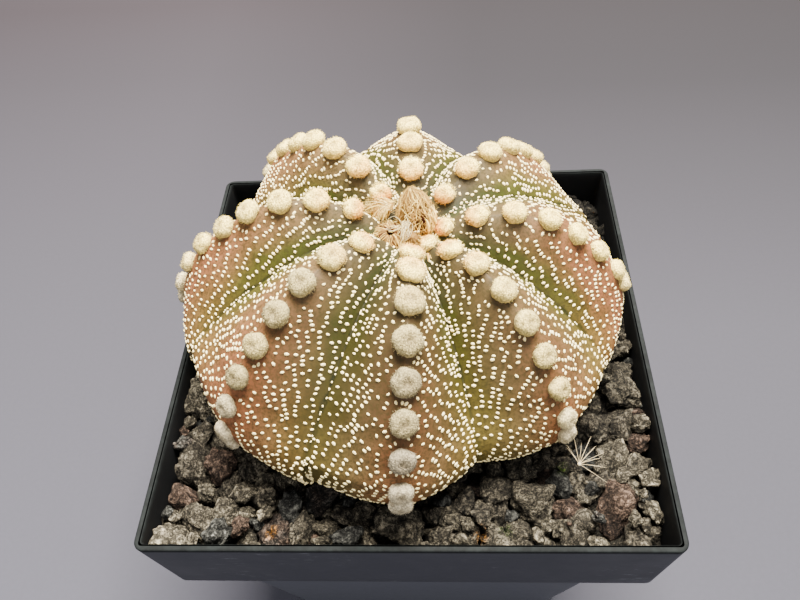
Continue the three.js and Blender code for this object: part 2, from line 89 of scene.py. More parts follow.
def soft_light(name, place, aim, size, watts, colour):
    """A square area light at a place, turned so that its face looks at the aim point."""
    light = bpy.data.lights.new(name, "AREA")
    light.size = size
    light.energy = watts
    light.color = colour
    lamp = bpy.data.objects.new(name, light)
    bpy.context.scene.collection.objects.link(lamp)
    back = np.array(place, float) - np.array(aim, float)
    back /= np.linalg.norm(back)
    side = np.cross([0.0, 1.0, 0.0], back)
    side /= np.linalg.norm(side)
    axes = np.stack([side, np.cross(back, side), back], axis=1)
    lamp.matrix_world = Matrix.Translation(place) @ Matrix(axes.tolist()).to_4x4()


soft_light(
    "overhead_softbox", place=(0.11, 0.25, 0.84), aim=POT_MIDDLE, size=0.50, watts=80.0,
    colour=(1.0, 0.97, 0.90),
)
soft_light(
    "front_softbox", place=(0.30, -0.60, 0.60), aim=POT_MIDDLE, size=0.60, watts=4.0,
    colour=(0.97, 0.98, 1.0),
)
room = bpy.data.worlds.new("room")
room.use_nodes = True
walls = room.node_tree.nodes["Background"]
walls.inputs["Color"].default_value = (*ROOM_LIGHT, 1)
walls.inputs["Strength"].default_value = 1.0
bpy.context.scene.world = room


def new_mesh(name, points, *face_sets):
    """A mesh from an array of points in millimetres and arrays of faces, one array for each number
    of corners. A shape whose signed volume is negative is inside out, so its faces are reversed."""
    points = np.asarray(points, float).reshape(-1, 3) * MM
    volume = 0.0
    for faces in face_sets:
        corners = points[faces]
        for k in range(1, faces.shape[1] - 1):
            cross = np.cross(corners[:, k], corners[:, k + 1])
            volume += np.einsum("ij,ij->", corners[:, 0], cross)
    if volume < 0:
        face_sets = [faces[:, ::-1] for faces in face_sets]
    counts = np.concatenate([np.full(len(faces), faces.shape[1]) for faces in face_sets])
    corners = np.concatenate([faces.ravel() for faces in face_sets])
    mesh = bpy.data.meshes.new(name)
    mesh.vertices.add(len(points))
    mesh.vertices.foreach_set("co", points.ravel())
    mesh.loops.add(len(corners))
    mesh.loops.foreach_set("vertex_index", corners.astype(np.int32))
    mesh.polygons.add(len(counts))
    mesh.polygons.foreach_set("loop_start", np.concatenate([[0], np.cumsum(counts)[:-1]]))
    mesh.update(calc_edges=True)
    mesh.validate()
    mesh.polygons.foreach_set("use_smooth", np.ones(len(mesh.polygons), bool))
    return mesh


def new_object(name, mesh, material):
    """An object at the origin with its mesh and its material."""
    made = bpy.data.objects.new(name, mesh)
    bpy.context.scene.collection.objects.link(made)
    mesh.materials.append(material)
    return made


def new_material(name, **plain):
    """A material with plain values on its surface shader. Returns it, its node tree and shader."""
    material = bpy.data.materials.new(name)
    material.use_nodes = True
    tree = material.node_tree
    shader = tree.nodes["Principled BSDF"]
    for socket, value in plain.items():
        shader.inputs[socket.replace("_", " ")].default_value = value
    return material, tree, shader


def feed(tree, socket, value):
    """Link another node's output to a socket, or set the socket to a plain value."""
    if isinstance(value, bpy.types.NodeSocket):
        tree.links.new(value, socket)
    elif socket.type == "RGBA":
        socket.default_value = (*value, 1)
    else:
        socket.default_value = value


def node(tree, kind, result=0, options=(), **inputs):
    """Add a shader node, set its options and inputs, and return one of its outputs. An input is
    named as in Blender, with _ for a space, or In and its number where names repeat."""
    made = tree.nodes.new("ShaderNode" + kind)
    for option, value in dict(options).items():
        setattr(made, option, value)
    for name, value in inputs.items():
        key = int(name[2:]) if name[:2] == "In" and name[2:].isdigit() else name.replace("_", " ")
        feed(tree, made.inputs[key], value)
    return made.outputs[result]


def place_in(tree):
    """The place on the object, in metres, which a piece's patterns follow."""
    return node(tree, "TexCoord", "Object")


def noise(tree, where, size, detail=2.0, rough=0.5, twist=0.0):
    """Cloudy noise from 0 to 1, with clouds of a size in millimetres."""
    return node(
        tree, "TexNoise", "Fac", Vector=where, Scale=1 / (size * MM), Detail=detail,
        Roughness=rough, Distortion=twist,
    )


def maths(tree, operation, first, second=0.0, clamp=False):
    """A number made of one or two others by an operation."""
    options = {"operation": operation, "use_clamp": clamp}
    return node(tree, "Math", 0, options, In0=first, In1=second)


def sum_of(tree, first, second, clamp=False):
    """Two numbers added."""
    return maths(tree, "ADD", first, second, clamp)


def product(tree, first, second):
    """Two numbers multiplied."""
    return maths(tree, "MULTIPLY", first, second)


def between(tree, value, low, high, to_low=0.0, to_high=1.0):
    """A number carried from one range to another, held at both ends."""
    return node(
        tree, "MapRange", 0, {"clamp": True}, Value=value, From_Min=low, From_Max=high,
        To_Min=to_low, To_Max=to_high,
    )


def mixed(tree, share, first, second, blend="MIX"):
    """Two colours mixed by a share from 0, all the first, to 1, all the second."""
    options = {"data_type": "RGBA", "blend_type": blend, "clamp_factor": True}
    return node(tree, "Mix", 2, options, In0=share, In6=first, In7=second)


def shaded(tree, colour, shade):
    """A colour made lighter or darker by a number."""
    grey = node(tree, "CombineXYZ", 0, X=shade, Y=shade, Z=shade)
    return mixed(tree, 1.0, colour, grey, "MULTIPLY")


TABLE_REACH = 2500.0
TABLE_NEAR = (0.047, 0.0455, 0.0565)
TABLE_FAR = (0.0180, 0.0138, 0.0162)

table_paint, tree, paint = new_material("table_paint", Roughness=0.85, Specular_IOR_Level=0.25)
grain = noise(tree, place_in(tree), 1.2, 4, 0.6)
rightward, away = (node(tree, "SeparateXYZ", axis, Vector=place_in(tree)) for axis in "XY")
# Painted shade and light on the table: it darkens to the back and to the right, most at the
# back right, and pales far behind
colour = mixed(tree, between(tree, away, -0.04, 0.26), TABLE_NEAR, TABLE_FAR)
colour = shaded(tree, colour, between(tree, rightward, -0.12, 0.16, 1.05, 0.80))
back_right = product(tree, between(tree, rightward, -0.10, 0.02), between(tree, away, 0.05, 0.18))
colour = shaded(tree, colour, between(tree, back_right, 0, 1, 1, 0.56))
colour = shaded(tree, colour, between(tree, away, 0.20, 0.42, 1, 1.5))
colour = shaded(tree, colour, between(tree, grain, 0, 1, 0.90, 1.06))
feed(tree, paint.inputs["Base Color"], colour)
corner = np.array([[-1, -1, 0], [1, -1, 0], [1, 1, 0], [-1, 1, 0]]) * TABLE_REACH
table_mesh = new_mesh("table_top", corner, np.array([[0, 1, 2, 3]]))
table = new_object("table_top", table_mesh, table_paint)


# The pot: one thin injection moulding in black plastic. A tapered body stands on a flat foot band
# round a raised floor with drain holes, and an upright collar with a rounded lip stiffens the rim.

POT_HEIGHT = 71.0
RIM_HALF = 45.0
COLLAR_FOOT_HALF = 43.4
COLLAR_HEIGHT = 20.3
BODY_TOP_HALF = 40.0
BASE_HALF = 32.0
RIM_CORNER = 1.8
BODY_CORNER = 4.5
BASE_CORNER = 6.0
WALL = 1.2
FOOT_BAND = 7.0
FOOT_SLANT = 0.6
FOOT_CORNER = 1.5
FOOT_LIFT = 1.2
FLOOR_TOP = 3.0
DRAIN_RADIUS = 4.0
DRAIN_SPACING = 13.0
DRAIN_SIDES = 32
DRILL_OVERRUN = 2
EDGE = 0.35
ARC_STEPS = 10
SIDE_STEPS = 14
WALL_STEPS = 6
INSIDE_FROM = 50
POT_BLACK = (0.037, 0.0375, 0.0445)
POT_INSIDE_SHADE = (0.0016, 0.0016, 0.0018)
POT_LIP_SHADE = (0.0028, 0.0036, 0.0034)
POT_BOUNCE_LIGHT = (0.080, 0.082, 0.095)
POT_DUST = (0.11, 0.11, 0.11)
POT_SCUFF = (0.42, 0.42, 0.46)


def square_rings(half, corner, height):
    """Rings of rounded squares, one for each row of half-width, corner radius and height: quarter
    arcs round the four corner centres, and even steps along the straight sides between them."""
    half, corner, height = (np.asarray(v, float)[:, None, None] for v in (half, corner, height))
    quarter = np.arange(4)[None, :, None]
    turn = (quarter + np.linspace(0, 1, ARC_STEPS + 1)) * np.pi / 2
    sign_x = np.array([1, -1, -1, 1])[None, :, None]
    sign_y = np.array([1, 1, -1, -1])[None, :, None]
    arcs = np.stack([
        sign_x * (half - corner) + corner * np.cos(turn),
        sign_y * (half - corner) + corner * np.sin(turn),
    ], axis=-1)
    step = (np.arange(1, SIDE_STEPS + 1) / (SIDE_STEPS + 1))[None, None, :, None]
    last = arcs[:, :, -1:]
    following = np.roll(arcs[:, :, :1], -1, axis=1)
    flat = np.concatenate([arcs, last + step * (following - last)], axis=2)
    rings = flat.reshape(len(half), -1, 2)
    heights = np.broadcast_to(height, (*rings.shape[:2], 1))
    return np.concatenate([rings, heights], axis=2)


def skin_over(rings, first_pole, last_pole):
    """Points and faces of a skin over rings of equal count: quads between neighbouring rings, and
    a fan of triangles from each pole."""
    rows, count = rings.shape[:2]
    j = np.arange(count)
    k = (j + 1) % count
    here = np.arange(rows - 1)[:, None] * count
    there = here + count
    quads = np.stack([here + j, here + k, there + k, there + j], axis=-1).reshape(-1, 4)
    points = np.concatenate([rings.reshape(-1, 3), [first_pole, last_pole]])
    low, high = rows * count, rows * count + 1
    top = (rows - 1) * count
    ends = np.concatenate([
        np.stack([np.full(count, low), k, j], axis=1),
        np.stack([np.full(count, high), top + j, top + k], axis=1),
    ])
    return points, quads, ends


def rounded_corner(before, corner, after, size, steps=3):
    """Points of a soft corner between two straight profile lines: a curve that leaves the first
    line and meets the second at the given distance from the corner."""
    before, corner, after = (np.array(v, float) for v in (before, corner, after))
    start = corner + size * (before - corner) / np.linalg.norm(before - corner)
    end = corner + size * (after - corner) / np.linalg.norm(after - corner)
    t = np.linspace(0, 1, steps + 1)[:, None]
    return (1 - t) ** 2 * start + 2 * t * (1 - t) * corner + t ** 2 * end


collar_foot = POT_HEIGHT - COLLAR_HEIGHT
inner_step = collar_foot + 1.5 * WALL
floor_half = BASE_HALF + (BODY_TOP_HALF - BASE_HALF) * FLOOR_TOP / collar_foot
# The profile's corners: half-width, corner radius, height and how softly each is rounded
pot_profile = [
    (BASE_HALF - FOOT_BAND, FOOT_CORNER, FOOT_LIFT, 0.3),
    (BASE_HALF - FOOT_BAND + FOOT_SLANT, FOOT_CORNER, 0.0, 0.3),
    (BASE_HALF, BASE_CORNER, 0.0, 0.8),
    (BODY_TOP_HALF, BODY_CORNER, collar_foot, 0.4),
    (COLLAR_FOOT_HALF, RIM_CORNER, collar_foot + WALL / 2, 0.6),
    (RIM_HALF, RIM_CORNER, POT_HEIGHT, EDGE),
    (RIM_HALF - WALL, RIM_CORNER - WALL, POT_HEIGHT, EDGE),
    (COLLAR_FOOT_HALF - WALL, RIM_CORNER - WALL, inner_step + WALL / 2, 0.5),
    (BODY_TOP_HALF - WALL, BODY_CORNER - WALL, inner_step, 0.5),
    (floor_half - WALL, BASE_CORNER - WALL, FLOOR_TOP, 1.5),
]
rows = []
for at, (half, corner_radius, height, soft) in enumerate(pot_profile):
    before = pot_profile[at - 1][::2] if at else (0.0, FOOT_LIFT)
    after = pot_profile[at + 1][::2] if at + 1 < len(pot_profile) else (0.0, FLOOR_TOP)
    bend = rounded_corner(before, (half, height), after, soft)
    rows += [(h, corner_radius, z) for h, z in bend]
    if after[0] > 0:
        share = np.linspace(0, 1, WALL_STEPS + 2)[1:-1, None]
        wall = bend[-1] + share * (np.array(after) - bend[-1])
        next_corner = pot_profile[at + 1][1]
        rows += [
            (h, corner_radius + s * (next_corner - corner_radius), z)
            for (h, z), s in zip(wall, share[:, 0])
        ]
pot_rings = square_rings(*np.array(rows).T)
pot_mesh = new_mesh("pot_shell", *skin_over(pot_rings, (0, 0, FOOT_LIFT), (0, 0, FLOOR_TOP)))


def bumped(tree, height, depth):
    """A normal from a height from 0 to 1, with the depth of a full step in millimetres."""
    return node(tree, "Bump", 0, Height=height, Distance=depth * MM, Strength=1.0)


pot_plastic, tree, plastic = new_material("pot_plastic", Specular_IOR_Level=0.16, IOR=1.49)
spot = place_in(tree)
streaked = node(tree, "Mapping", 0, Vector=spot, Scale=(0.09, 0.09, 1.0))
scratches = between(tree, noise(tree, streaked, 0.40, 3, 0.7), 0.62, 0.72)
patches = between(tree, noise(tree, spot, 13, 2), 0.50, 0.66)
scuffs = product(tree, scratches, patches)
height_up = node(tree, "SeparateXYZ", "Z", Vector=spot)
near_lip = between(tree, height_up, (POT_HEIGHT - 1.1) * MM, (POT_HEIGHT - 0.4) * MM)
rubbed = between(tree, noise(tree, spot, 1.6, 4, 0.65), 0.40, 0.65, 0.7, 1.8)
dust = between(tree, noise(tree, spot, 0.6, 3, 0.7), 0.60, 0.82, 0, 0.35)
# The collar's inside is painted in shade, darker than its outside, and has no scuffs: it lies a
# wall's thickness in from its outside
sideways = (node(tree, "SeparateXYZ", axis, Vector=spot) for axis in "XY")
reach = maths(tree, "MAXIMUM", *(maths(tree, "ABSOLUTE", value) for value in sideways))
draft = (RIM_HALF - COLLAR_FOOT_HALF) / COLLAR_HEIGHT
drawn_in = product(tree, maths(tree, "SUBTRACT", POT_HEIGHT * MM, height_up), draft)
inward = maths(tree, "SUBTRACT", maths(tree, "SUBTRACT", RIM_HALF * MM, reach), drawn_in)
inside = between(tree, inward, 0.8 * WALL * MM, 0.95 * WALL * MM)
above_body = between(tree, height_up, INSIDE_FROM * MM, (INSIDE_FROM + 1) * MM)
inside = product(tree, inside, above_body)
colour = mixed(tree, inside, POT_BLACK, POT_INSIDE_SHADE)
scuffed = product(tree, scuffs, between(tree, inside, 0, 1, 0.65, 0))
colour = mixed(tree, scuffed, colour, POT_SCUFF)
# Painted reflected light: the body below the collar is painted a lighter grey
bounce_light = between(tree, height_up, (collar_foot - 3) * MM, collar_foot * MM, 0.8, 0)
colour = mixed(tree, bounce_light, colour, POT_BOUNCE_LIGHT)
colour = mixed(tree, product(tree, dust, 0.15), colour, POT_DUST)
# Painted shade: the lip's top is far darker than the plastic elsewhere, and mottled by rubbing
colour = mixed(tree, near_lip, colour, shaded(tree, POT_LIP_SHADE, rubbed))
feed(tree, plastic.inputs["Base Color"], colour)
satin = between(tree, noise(tree, spot, 9, 3), 0.3, 0.7, 0.55, 0.7)
dulled = sum_of(tree, between(tree, near_lip, 0, 1, 0, 0.2), satin, clamp=True)
feed(tree, plastic.inputs["Roughness"], dulled)
relief = maths(tree, "SUBTRACT", noise(tree, spot, 0.22, 2), scuffs)
feed(tree, plastic.inputs["Normal"], bumped(tree, relief, 0.02))


def finish_piece(piece, slot, *nodes):
    """The piece rides on the pot's one body and hides the CAD nodes that it stands for.
    The slot is not used.
    """
    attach(piece, "root")
    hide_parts(*nodes)


pot = new_object("pot_shell", pot_mesh, pot_plastic)
# Five drain holes are drilled through its floor, one in the middle and four round it
drill_places = [
    (x * DRAIN_SPACING, y * DRAIN_SPACING)
    for x in (-1, 0, 1) for y in (-1, 0, 1) if abs(x) + abs(y) != 1
]
drill_ends = (FOOT_LIFT - DRILL_OVERRUN, FLOOR_TOP + DRILL_OVERRUN)
turn = np.linspace(0, 2 * np.pi, DRAIN_SIDES, endpoint=False)
circle = np.stack([np.cos(turn), np.sin(turn)], axis=1) * DRAIN_RADIUS
for number, place in enumerate(drill_places):
    hoop = np.stack([
        np.concatenate([circle + place, np.full((DRAIN_SIDES, 1), z)], axis=1) for z in drill_ends
    ])
    ends = [(*place, z) for z in drill_ends]
    drill = new_object(f"drill_{number}", new_mesh("drill", *skin_over(hoop, *ends)), pot_plastic)
    cut = pot.modifiers.new("drain", "BOOLEAN")
    cut.object = drill
    cut.solver = "EXACT"
    cut_mesh = bpy.data.meshes.new_from_object(
        pot.evaluated_get(bpy.context.evaluated_depsgraph_get())
    )
    pot.modifiers.clear()
    pot.data = cut_mesh
    bpy.data.objects.remove(drill)
pot.data.name = "pot_shell"
finish_piece(pot, "pot_plastic", "pot")


# The stem: one low globe with eight broad ribs that meet in a sunken crown. It grew in one piece,
# leans a little to the right, and narrows to a foot among the stones.

STEM_CENTRE = np.array([0.4, 2.6, POT_HEIGHT + 5])
STEM_LEAN = np.radians(4.5)
CREST_OUTLINE = np.array([
    (0, 17), (15, 21.2), (30, 28.7), (45, 33.7), (60, 36.6), (75, 40.2), (90, 41.9), (105, 36.6),
    (122, 28.5), (140, 23), (160, 20), (180, 19.5),
])
GROOVE_OUTLINE = np.array([
    (0, 17), (20, 21), (40, 25.3), (60, 29.8), (75, 34.9), (90, 40.4), (105, 35),
    (122, 27.7), (140, 22.5), (160, 19.8), (180, 19.5),
])
CREST_HEADING = np.array([-91, -47.5, -1, 47.5, 92.5, 136, 180.5, 225])
CREST_REACH = np.array([0.99, 0.93, 0.965, 0.985, 0.965, 1.02, 1.03, 1.015])
GROOVE_HEADING = np.array([-70.5, -22, 26.5, 71, 112, 156.5, 201, 246.5])
GROOVE_REACH = np.array([0.875, 0.955, 1.07, 1, 1, 0.955, 1.065, 1.045])
TOP_AREOLE = np.array([21, 12, 16, 21, 16.5, 20, 23.5, 26])
CROWN_BLEND = 25.0
FOOT_FADE = (110.0, 150.0)
FACE_BULGE = 1.35
SHALLOWEST_GROOVE = 0.7
AXIS_STEP = 0.4
RIBS = len(CREST_HEADING)
TURNS = np.ravel([CREST_HEADING, GROOVE_HEADING], order="F")
TURNS = np.append(TURNS, TURNS[0] + 360)


def smooth_curve(points, place):
    """A smooth curve through points: cubic pieces whose slope at each point is that of the line
    between its two neighbours."""
    x, y = points[:, 0], points[:, 1]
    slope = np.empty_like(y)
    slope[1:-1] = (y[2:] - y[:-2]) / (x[2:] - x[:-2])
    slope[0] = (y[1] - y[0]) / (x[1] - x[0])
    slope[-1] = (y[-1] - y[-2]) / (x[-1] - x[-2])
    i = np.clip(np.searchsorted(x, place) - 1, 0, len(x) - 2)
    span = x[i + 1] - x[i]
    t = (place - x[i]) / span
    return (
        (2 * t ** 3 - 3 * t ** 2 + 1) * y[i] + (t ** 3 - 2 * t ** 2 + t) * slope[i] * span
        + (3 * t ** 2 - 2 * t ** 3) * y[i + 1] + (t ** 3 - t ** 2) * slope[i + 1] * span
    )


def smooth_step(low, high, value):
    """From 0 to 1 with no sudden start or stop."""
    t = np.clip((value - low) / (high - low), 0, 1)
    return t * t * (3 - 2 * t)


def rib_place(heading):
    """The nearest crest's and groove's numbers, and how far a heading is from crest, 0, to
    groove, 1."""
    turned = np.mod(heading - TURNS[0], 360) + TURNS[0]
    part = np.clip(np.searchsorted(TURNS, turned, side="right") - 1, 0, 2 * RIBS - 1)
    share = (turned - TURNS[part]) / (TURNS[part + 1] - TURNS[part])
    after_groove = part % 2 == 1
    crest = ((part + after_groove) // 2) % RIBS
    return crest, part // 2, np.where(after_groove, 1 - share, share)


def stem_size(heading, angle):
    """The skin's distance from the stem's centre, at a heading round the stem and an angle down
    from its top: the crest's outline, drawn in to the groove's by a power of the way across."""
    crest, groove, across = rib_place(heading)
    own = smooth_step(0, CROWN_BLEND, angle) * (1 - smooth_step(*FOOT_FADE, angle))
    high = smooth_curve(CREST_OUTLINE, angle) * (1 + (CREST_REACH[crest] - 1) * own)
    low = smooth_curve(GROOVE_OUTLINE, angle) * (1 + (GROOVE_REACH[groove] - 1) * own)
    low = np.minimum(low, high - SHALLOWEST_GROOVE * smooth_step(0, CROWN_BLEND, angle))
    return low + (high - low) * (1 - across ** FACE_BULGE)


def leaned(points):
    """Points round the stem's centre, leaned about the Y axis and moved to where it stands."""
    x, y, z = np.moveaxis(points, -1, 0)
    c, s = np.cos(STEM_LEAN), np.sin(STEM_LEAN)
    return np.stack([c * x + s * z, y, c * z - s * x], axis=-1) + STEM_CENTRE


def stem_place(heading, angle, grow=0.0):
    """The point of the skin at a heading and an angle, raised by grow."""
    heading, angle = np.broadcast_arrays(np.asarray(heading, float), np.asarray(angle, float))
    size = stem_size(heading, angle) + grow
    turn, down = np.radians(heading), np.radians(angle)
    return leaned(np.stack([
        size * np.sin(down) * np.cos(turn), size * np.sin(down) * np.sin(turn), size * np.cos(down),
    ], axis=-1))


def stem_axes(heading, angle):
    """Three unit columns on the skin: down the rib, across it, and straight out."""
    here = stem_place(heading, angle)
    down = stem_place(heading, angle + AXIS_STEP) - here
    beside = stem_place(heading + AXIS_STEP, angle) - here
    out = np.cross(down, beside)
    out /= np.linalg.norm(out, axis=-1, keepdims=True)
    down /= np.linalg.norm(down, axis=-1, keepdims=True)
    return np.stack([down, np.cross(out, down), out], axis=-1)


# Areoles stand at even distances down each crest as far as the gravel
AREOLE_SPACING = 6.1
LAST_SPACING = 0.6
AREOLE_RADIUS = 2.5
AREOLE_SHRINK = 0.7
YOUNG_SHRINK = 0.4
RIB_AREOLES = np.array([1.05, 0.93, 0.88, 0.93, 0.97, 0.93, 0.93, 0.98])
AREOLE_HEIGHT = 2.1
AREOLE_FLATTEN = 0.2
YOUNG_FLATTEN = 0.3
FIRST_SHARE = 0.88
LOWEST_AREOLE = POT_HEIGHT + 1.8
CREST_END = 125
CREST_STEP = 0.25


def areole_places():
    """Heading, angle and rib number of every areole: the crest is measured in short steps, and an
    areole is set wherever its length passes a whole number of spacings. The lowest is crowded
    against the one above it."""
    found = []
    for rib, (heading, top) in enumerate(zip(CREST_HEADING, TOP_AREOLE)):
        angle = np.arange(top, CREST_END, CREST_STEP)
        crest = stem_place(heading, angle)
        length = np.concatenate([[0], np.cumsum(np.linalg.norm(np.diff(crest, axis=0), axis=1))])
        here = np.interp(np.arange(0, length[-1], AREOLE_SPACING), length, angle)
        buried = np.append(stem_place(heading, here)[:, 2] <= LOWEST_AREOLE, True)
        here = here[:np.argmax(buried)]
        here[-1] = here[-2] + LAST_SPACING * (here[-1] - here[-2])
        found += [(heading, a, rib) for a in here]
    return np.array(found)


areole_heading, areole_angle, areole_rib = areole_places().T
areole_spot = stem_place(areole_heading, areole_angle)
areole_down = (areole_angle / 90) ** 2
areole_young = np.exp(-(((areole_angle - 8) / 22) ** 2))
areole_radius = AREOLE_RADIUS - AREOLE_SHRINK * areole_down - YOUNG_SHRINK * areole_young
areole_radius *= RIB_AREOLES[areole_rib.astype(int)]
areole_height = AREOLE_HEIGHT * (1 - AREOLE_FLATTEN * areole_down - YOUNG_FLATTEN * areole_young)
first_areole = areole_angle == TOP_AREOLE[areole_rib.astype(int)]
areole_radius = np.where(first_areole, FIRST_SHARE * areole_radius, areole_radius)


def waves(points, size, seed, count=14):
    """Smooth lumps from about -1 to 1, of a size in millimetres: plane waves in random directions,
    added up."""
    random = np.random.default_rng(seed)
    direction = random.normal(size=(count, 3))
    direction /= np.linalg.norm(direction, axis=1, keepdims=True)
    length = size * random.uniform(0.7, 1.4, count)
    phase = random.uniform(0, 2 * np.pi, count)
    total = np.zeros(points.shape[:-1])
    for way, reach, start in zip(direction, length, phase):
        total += np.sin(points @ way * (2 * np.pi / reach) + start)
    return total * np.sqrt(2 / count) / 2


# The skin's columns crowd a little at each crest and groove, and its rows stand wider apart where
# the gravel hides them
RIB_COLUMNS = 26
spread = (1 - np.cos(np.linspace(0, np.pi, RIB_COLUMNS + 1)[:-1])) / 2
spread = 0.5 * spread + 0.5 * np.linspace(0, 1, RIB_COLUMNS + 1)[:-1]
stem_heading, stem_angle = np.meshgrid(
    (TURNS[:-1, None] + spread * np.diff(TURNS)[:, None]).ravel(),
    np.concatenate([np.arange(1.5, 116, 0.8), np.arange(117, 178, 4)]),
)
stem_points = stem_place(stem_heading, stem_angle)


def nearest_areole(points):
    """The distance from each point to the closest areole."""
    best = np.full(points.shape[:-1], np.inf)
    for spot in areole_spot:
        best = np.minimum(best, np.linalg.norm(points - spot, axis=-1))
    return best


# A low swelling carries each areole, and the skin between is faintly uneven
SEAT_SWELL = 0.35
SEAT_REACH = 3.4
SKIN_UNEVEN = 0.12


def skin_lift(points, across):
    """How far the skin stands out from its plain shape at points, given how far across a rib's side
    each lies. Also returns how far each is from the closest areole."""
    gap = nearest_areole(points)
    lift = SEAT_SWELL * np.exp(-((gap / SEAT_REACH) ** 2))
    return lift + SKIN_UNEVEN * waves(points, 7, 3) * (1 - across ** 6), gap


_, nearest_groove, across = rib_place(stem_heading)
grow, gap_to_areole = skin_lift(stem_points, across)
stem_points = stem_place(stem_heading, stem_angle, grow)
poles = stem_place(0, [0.0, 180.0])

# Sunburn: how red each rib's left and right flank is, from its crest to its foot
FLUSH_LEFT = np.array([0.02, 0.00, 1.25, 0.5, 0.5, 0.6, 0.70, 0.75])
FLUSH_RIGHT = np.array([0.15, 0.35, 1.20, 0.7, 0.5, 0.4, 0.75, 0.40])
# How much lighter or darker each flank is painted than the others: painted light and shade
PAINTED_LIGHT_LEFT = np.array([0.43, 0.70, 0.96, 1.32, 1.15, 1.6, 0.88, 1.2])
PAINTED_LIGHT_RIGHT = np.array([0.64, 0.86, 0.92, 1.0, 1.0, 1.6, 1.35, 0.60])
# How much lighter or darker each groove is painted: painted light and shade
PAINTED_LIGHT_GROOVE = np.array([1.00, 0.98, 0.9, 1, 1, 0.9, 0.95, 0.60])
PAINTED_LIGHT_FOOT = 0.8
HALO_REACH = 4.6


def flank_value(heading, on_left, on_right):
    """A flank's own value at a heading, eased from one to the other over the crest."""
    crest, _, across = rib_place(heading)
    turned = np.mod(heading - CREST_HEADING[crest] + 180, 360) - 180
    side = smooth_step(-1, 1, np.sign(turned) * across * 1.6)
    return on_right[crest] * side + on_left[crest] * (1 - side)


def with_poles(values, first, last):
    """A grid's values in the order of a skin's points, with the two poles' values at the end."""
    return np.concatenate([np.ravel(values), [first, last]])


SKIN_TAN = (0.084, 0.053, 0.0188)
SKIN_SALMON = (0.158, 0.058, 0.023)
SKIN_OLIVE = (0.052, 0.042, 0.0055)
SKIN_GREEN = (0.023, 0.034, 0.004)
SKIN_CROWN = (0.0245, 0.0240, 0.0140)
SKIN_SPECK = (0.026, 0.020, 0.005)
SKIN_CREASE_SHADE = (0.009, 0.0105, 0.0006)


def value_of(tree, name):
    """A number that the mesh carries at each point."""
    return node(tree, "Attribute", "Fac", {"attribute_name": name})


cactus_skin, tree, skin = new_material("cactus_skin", Specular_IOR_Level=0.12)
spot = place_in(tree)
cloud = noise(tree, spot, 9, 4, 0.6, 0.4)
blotch = noise(tree, spot, 2.4, 3, 0.6)
speck = noise(tree, spot, 0.55, 4, 0.8)
cross = value_of(tree, "across")
down = value_of(tree, "down")
halo = value_of(tree, "halo")
flush = value_of(tree, "flush")
wander = between(tree, cloud, 0.3, 0.7, -0.16, 0.16)
green_share = between(tree, sum_of(tree, cross, wander), 0.42, 0.86)
green_share = product(tree, green_share, between(tree, down, 0.72, 0.98, 1, 0.55))
red_share = product(tree, sum_of(tree, flush, wander), between(tree, down, 0.35, 0.8))
red_share = sum_of(tree, red_share, product(tree, halo, 0.75), clamp=True)
colour = mixed(tree, red_share, SKIN_TAN, SKIN_SALMON)
low_green = mixed(tree, between(tree, down, 0.3, 0.8), SKIN_GREEN, SKIN_OLIVE)
colour = mixed(tree, green_share, colour, low_green)
top_share = between(tree, sum_of(tree, down, wander), 0.18, 0.5, 1, 0)
colour = mixed(tree, product(tree, top_share, 0.75), colour, SKIN_CROWN)
# A dark green line along each groove's crease: partly the skin's own colour, partly painted shade
ragged = sum_of(tree, cross, between(tree, blotch, 0.3, 0.7, -0.03, 0.03))
crease = between(tree, ragged, 0.955, 0.99)
crease = product(tree, crease, between(tree, down, 0.75, 1.0, 1, 0.4))
colour = mixed(tree, crease, colour, SKIN_CREASE_SHADE)
foot = between(tree, down, 1.02, 1.2)
colour = mixed(tree, foot, colour, SKIN_OLIVE)
colour = shaded(tree, colour, between(tree, blotch, 0.3, 0.7, 0.82, 1.15))
# Painted light and shade, carried by the mesh as its tone
colour = shaded(tree, colour, value_of(tree, "tone"))
dapple = between(tree, speck, 0.45, 0.60, 0, 0.7)
colour = mixed(tree, dapple, colour, SKIN_SPECK)
feed(tree, skin.inputs["Base Color"], colour)
feed(tree, skin.inputs["Roughness"], between(tree, blotch, 0.3, 0.7, 0.5, 0.62))
feed(tree, skin.inputs["Normal"], bumped(tree, sum_of(tree, speck, blotch), 0.05))


def add_values(piece, **values):
    """Numbers that a material reads, one for each point of the mesh, as named attributes."""
    for name, numbers in values.items():
        attribute = piece.data.attributes.new(name, "FLOAT", "POINT")
        attribute.data.foreach_set("value", np.asarray(numbers, np.float32).ravel())


stem = new_object("stem_skin", new_mesh("stem_skin", *skin_over(stem_points, *poles)), cactus_skin)
closeness = np.exp(-((gap_to_areole / HALO_REACH) ** 2)) * smooth_step(42, 80, stem_angle)
own = smooth_step(15, 40, stem_angle) * (1 - 0.8 * smooth_step(64, 86, stem_angle))
own *= 1 - 0.7 * across ** 3
# The tone is painted light and shade, set flank by flank and groove by groove, lighter at the foot
tone = 1 + own * (flank_value(stem_heading, PAINTED_LIGHT_LEFT, PAINTED_LIGHT_RIGHT) - 1)
tone *= 1 + (PAINTED_LIGHT_GROOVE[nearest_groove] - 1) * smooth_step(0.55, 0.90, across)
tone *= 1 + PAINTED_LIGHT_FOOT * smooth_step(68, 90, stem_angle)
add_values(
    stem,
    across=with_poles(across, 0.5, 0.5),
    down=with_poles(stem_angle / 90, 0, 2),
    halo=with_poles(closeness, 0, 0),
    flush=with_poles(flank_value(stem_heading, FLUSH_LEFT, FLUSH_RIGHT), 0.4, 0.4),
    tone=with_poles(tone, 1, 1),
)
finish_piece(stem, "cactus_skin", "cactus")


# The areoles: round buttons of short matted wool, one row on every crest. Each is a low cushion
# with a dimple in its middle, and it bristles with the ends of its own hairs.

